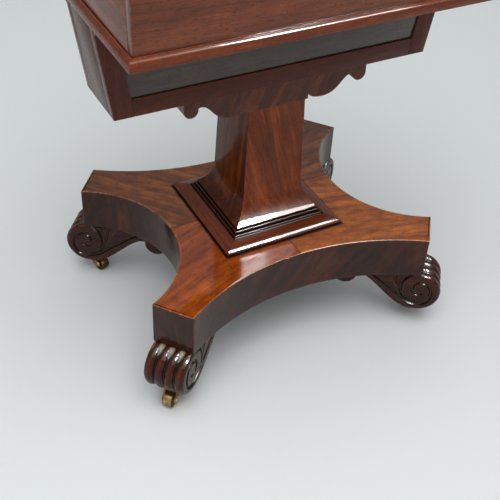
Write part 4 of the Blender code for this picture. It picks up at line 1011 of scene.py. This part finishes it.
castor = {
    "wheelRadius": 0.012, "wheelHalf": 0.0075, "edge": 0.0016, "groove": (2, 1.6), "hub": 0.0062,
    "dish": 0.0012, "bore": 0.0023, "chamfer": 0.0004, "axleHalf": 0.0110, "axleRadius": 0.0019,
    "headRadius": 0.0033, "head": 0.001, "plate": 0.0115, "plateThick": 0.004, "stem": 0.004,
    "stemLength": 0.024, "pivot": 0.003, "pivotHead": (0.0047, 0.0014), "forkArris": 0.0006,
    "steps": {"wheel": 56, "axle": 32, "stem": 40, "fork": 3}, "sideSlope": 0.45,
    # the back wheels' treads take the near-black brass: painted shade
    "treads": {"front_left": "castBrass", "front_right": "castBrass", "back_left": "wheelBrass",
               "back_right": "wheelBrass"},
}


def mirrored(profile):
    return profile + [(radius, -height) for radius, height in reversed(profile)]


def makeCastors():
    size, steps, chamfer = castor, castor["steps"], castor["chamfer"]
    half, rim, hub, edge = size["wheelHalf"], size["wheelRadius"], size["hub"], size["edge"]
    dish, (inGroove, outGroove) = half - size["dish"], size["groove"]
    wheel = [(size["bore"], half), (hub - chamfer, half), (hub, half - chamfer), (hub, dish),
             (rim - inGroove * edge, dish), (rim - outGroove * edge, half)]
    wheel += [(rim - edge * (1 - math.sin(a)), half - edge * (1 - math.cos(a)))
              for a in [math.pi / 2 * i / 5 for i in range(6)]]
    axle = [(size["headRadius"] * math.cos(a), size["axleHalf"] + size["head"] * math.sin(a))
            for a in [math.pi / 2 * i / 6 for i in range(5, -1, -1)]]
    axle += [(size["axleRadius"], size["axleHalf"])]
    thick, plate, pivot, (head, rivet) = size["plateThick"], size["plate"], size["pivot"], size["pivotHead"]
    for corner in corners:
        roll = joints["roll_" + corner]
        axis = Vector(roll["axis"])
        spin = Matrix.Translation(roll["pos_m"]) @ axis.to_track_quat("Z", "Y").to_matrix().to_4x4()
        node = "castor_wheel_" + corner
        # the wheels' sides take the near-black brass: painted shade
        dress(newPiece(camel(node), lathe(mirrored(wheel), steps["wheel"], spin, loop=True)),
              (size["treads"][corner], "wheelBrass"), (node,),
              second=lambda centres, normals: np.abs(normals @ np.array(axis)) > size["sideSlope"])
        node = "castor_axle_" + corner
        dress(newPiece(camel(node), lathe(mirrored(axle), steps["axle"], spin)), ("castBrass",), (node,))
        node = "castor_stem_" + corner
        low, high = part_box(node)
        base = high.z - size["stemLength"] - thick
        bottom = low.z - base
        stem = [(size["stem"], thick + size["stemLength"]), (size["stem"], thick), (plate, thick),
                (plate, chamfer), (plate - chamfer, 0.0), (pivot, 0.0), (pivot, bottom + rivet),
                (head, bottom + rivet), (head - rivet / 2, bottom)]
        stand = Matrix.Translation(((low.x + high.x) / 2, (low.y + high.y) / 2, base))
        dress(newPiece(camel(node), lathe(stem, steps["stem"], stand)), ("castBrass",), (node,))
        node = "castor_fork_" + corner
        dress(newPiece(camel(node), softened(node, size["forkArris"], steps["fork"])), ("forkBrass",),
              (node,))


makeCastors()
print("castors made")


# Boards, trays, lid and fittings: the CAD pieces with their arrises eased

boards = {
    "frameWood": {"arris": 0.0006, "nodes": {
        "well_front_stile_left": up, "well_front_stile_right": up, "well_back_stile_left": up,
        "well_back_stile_right": up, "well_front_bottom_rail": right, "well_front_top_rail": right,
        "well_back_bottom_rail": right, "well_back_top_rail": right, "well_end_left": up,
        "well_end_right": up}},
    "stainedPanel": {"arris": 0.0003, "nodes": {"well_front_panel": right, "well_back_panel": right}},
    "cedarLining": {"arris": 0.0004, "nodes": {
        "well_bottom": right, "case_bottom": right, "tray_front": right, "tray_back": right}},
    "collarWood": {"arris": 0.0003, "nodes": {
        "cove_front": right, "cove_back": right, "case_moulding": right}},
    "caseVeneer": {"arris": 0.0006, "nodes": {
        "case_front": right, "case_back": right, "case_end_left": back, "case_end_right": back,
        "lid": right}},
    "castBrass": {"arris": 0.00022, "nodes": {
        "hinge_case_leaf_left": right, "hinge_case_leaf_right": right, "hinge_lid_leaf_left": right,
        "hinge_lid_leaf_right": right, "hinge_pin_left": right, "hinge_pin_right": right, "lock": right,
        "lock_link_plate": right, "escutcheon": right}},
}
boardLeaf = (1.7, 0.9)


def makeBoards():
    for finish, board in boards.items():
        for k, (node, along) in enumerate(board["nodes"].items()):
            across = up if along is not up else right
            dress(newPiece(camel(node), softened(node, board["arris"])), (finish,), (node,),
                  [(leafAt(k, boardLeaf), along, across)])


makeBoards()
print("boards and fittings made")


# Camera, light and floor

camera = {"lens": 64.01, "place": (-0.57218, -0.98453, 1.02686), "turn": (50.221, -2.553, -27.836)}
lamps = {  # each strip of a lamp: left, right, radiance
    "softBox": {"place": (0.92, -1.40, 2.09), "aim": (0, 0, 0.2), "roll": -12, "height": 0.62,
                "polishOnly": True, "strips": ((-0.55, -0.04, 330), (-0.04, 0.10, 120), (0.10, 0.75, 48))},
    "overhead": {"place": (-0.4, -0.8, 2.8), "aim": (0, -0.2, 0), "roll": 0, "height": 2.6,
                 "polishOnly": False, "strips": ((-1.3, 1.3, 3.06),)},
}
studio = {"floor": "e2e5e5", "floorReach": 8.0, "floorFade": (2.6, 7.0), "air": "d5dadb",
          "airStrength": 0.64}


def makeCamera(scene):
    lens = bpy.data.cameras.new("camera")
    lens.lens = camera["lens"]
    eye = bpy.data.objects.new("camera", lens)
    eye.location = camera["place"]
    eye.rotation_euler = [math.radians(a) for a in camera["turn"]]
    scene.collection.objects.link(eye)
    scene.camera = eye


def makeLamps(scene):
    for name, lamp in lamps.items():
        turn = (Vector(lamp["aim"]) - Vector(lamp["place"])).to_track_quat("-Z", "Y")
        turn = turn @ Matrix.Rotation(math.radians(lamp["roll"]), 4, "Z").to_quaternion()
        for start, end, radiance in lamp["strips"]:
            light = bpy.data.lights.new(name, "AREA")
            light.shape = "RECTANGLE"
            light.size, light.size_y = end - start, lamp["height"]
            light.energy = radiance * math.pi * light.size * light.size_y
            box = bpy.data.objects.new(name, light)
            box.location = Vector(lamp["place"]) + turn @ Vector(((start + end) / 2, 0, 0))
            box.visible_diffuse = not lamp["polishOnly"]  # shows in the polish, and throws no shadow
            box.rotation_euler = turn.to_euler()
            scene.collection.objects.link(box)


def makeFloor(scene):
    bm = bmesh.new()
    bmesh.ops.create_circle(bm, cap_ends=True, radius=studio["floorReach"], segments=64)
    floor = newPiece("floor", bm)
    paper, tree, matt = newMaterial("palePaper")  # seamless paper, matt
    setInputs(tree, matt, {"Base Color": linear(studio["floor"]), "Roughness": 0.8,
                           "Specular IOR Level": 0.0})
    near, far = studio["floorFade"]  # the paper goes over into the backdrop
    place = addNode(tree, "ShaderNodeTexCoord").outputs["Object"]
    reach = addNode(tree, "ShaderNodeVectorMath", {0: place}, operation="LENGTH")
    fade = addNode(tree, "ShaderNodeMapRange", {"Value": reach.outputs["Value"], "From Min": near,
                                                "From Max": far}, interpolation_type="SMOOTHSTEP")
    clear = addNode(tree, "ShaderNodeBsdfTransparent")
    mixed = addNode(tree, "ShaderNodeMixShader", {0: fade.outputs[0], 1: matt.outputs[0],
                                                  2: clear.outputs[0]})
    setInputs(tree, tree.nodes["Material Output"], {"Surface": mixed.outputs[0]})
    floor.data.materials.append(paper)
    air = bpy.data.worlds.new("studioAir")
    air.use_nodes = True
    setInputs(air.node_tree, air.node_tree.nodes["Background"], {"Color": linear(studio["air"]),
                                                                 "Strength": studio["airStrength"]})
    scene.world = air


bpy.context.scene.view_settings.view_transform = "Standard"
makeCamera(bpy.context.scene)
makeLamps(bpy.context.scene)
makeFloor(bpy.context.scene)
print("studio set")

bpy.context.view_layer.update()
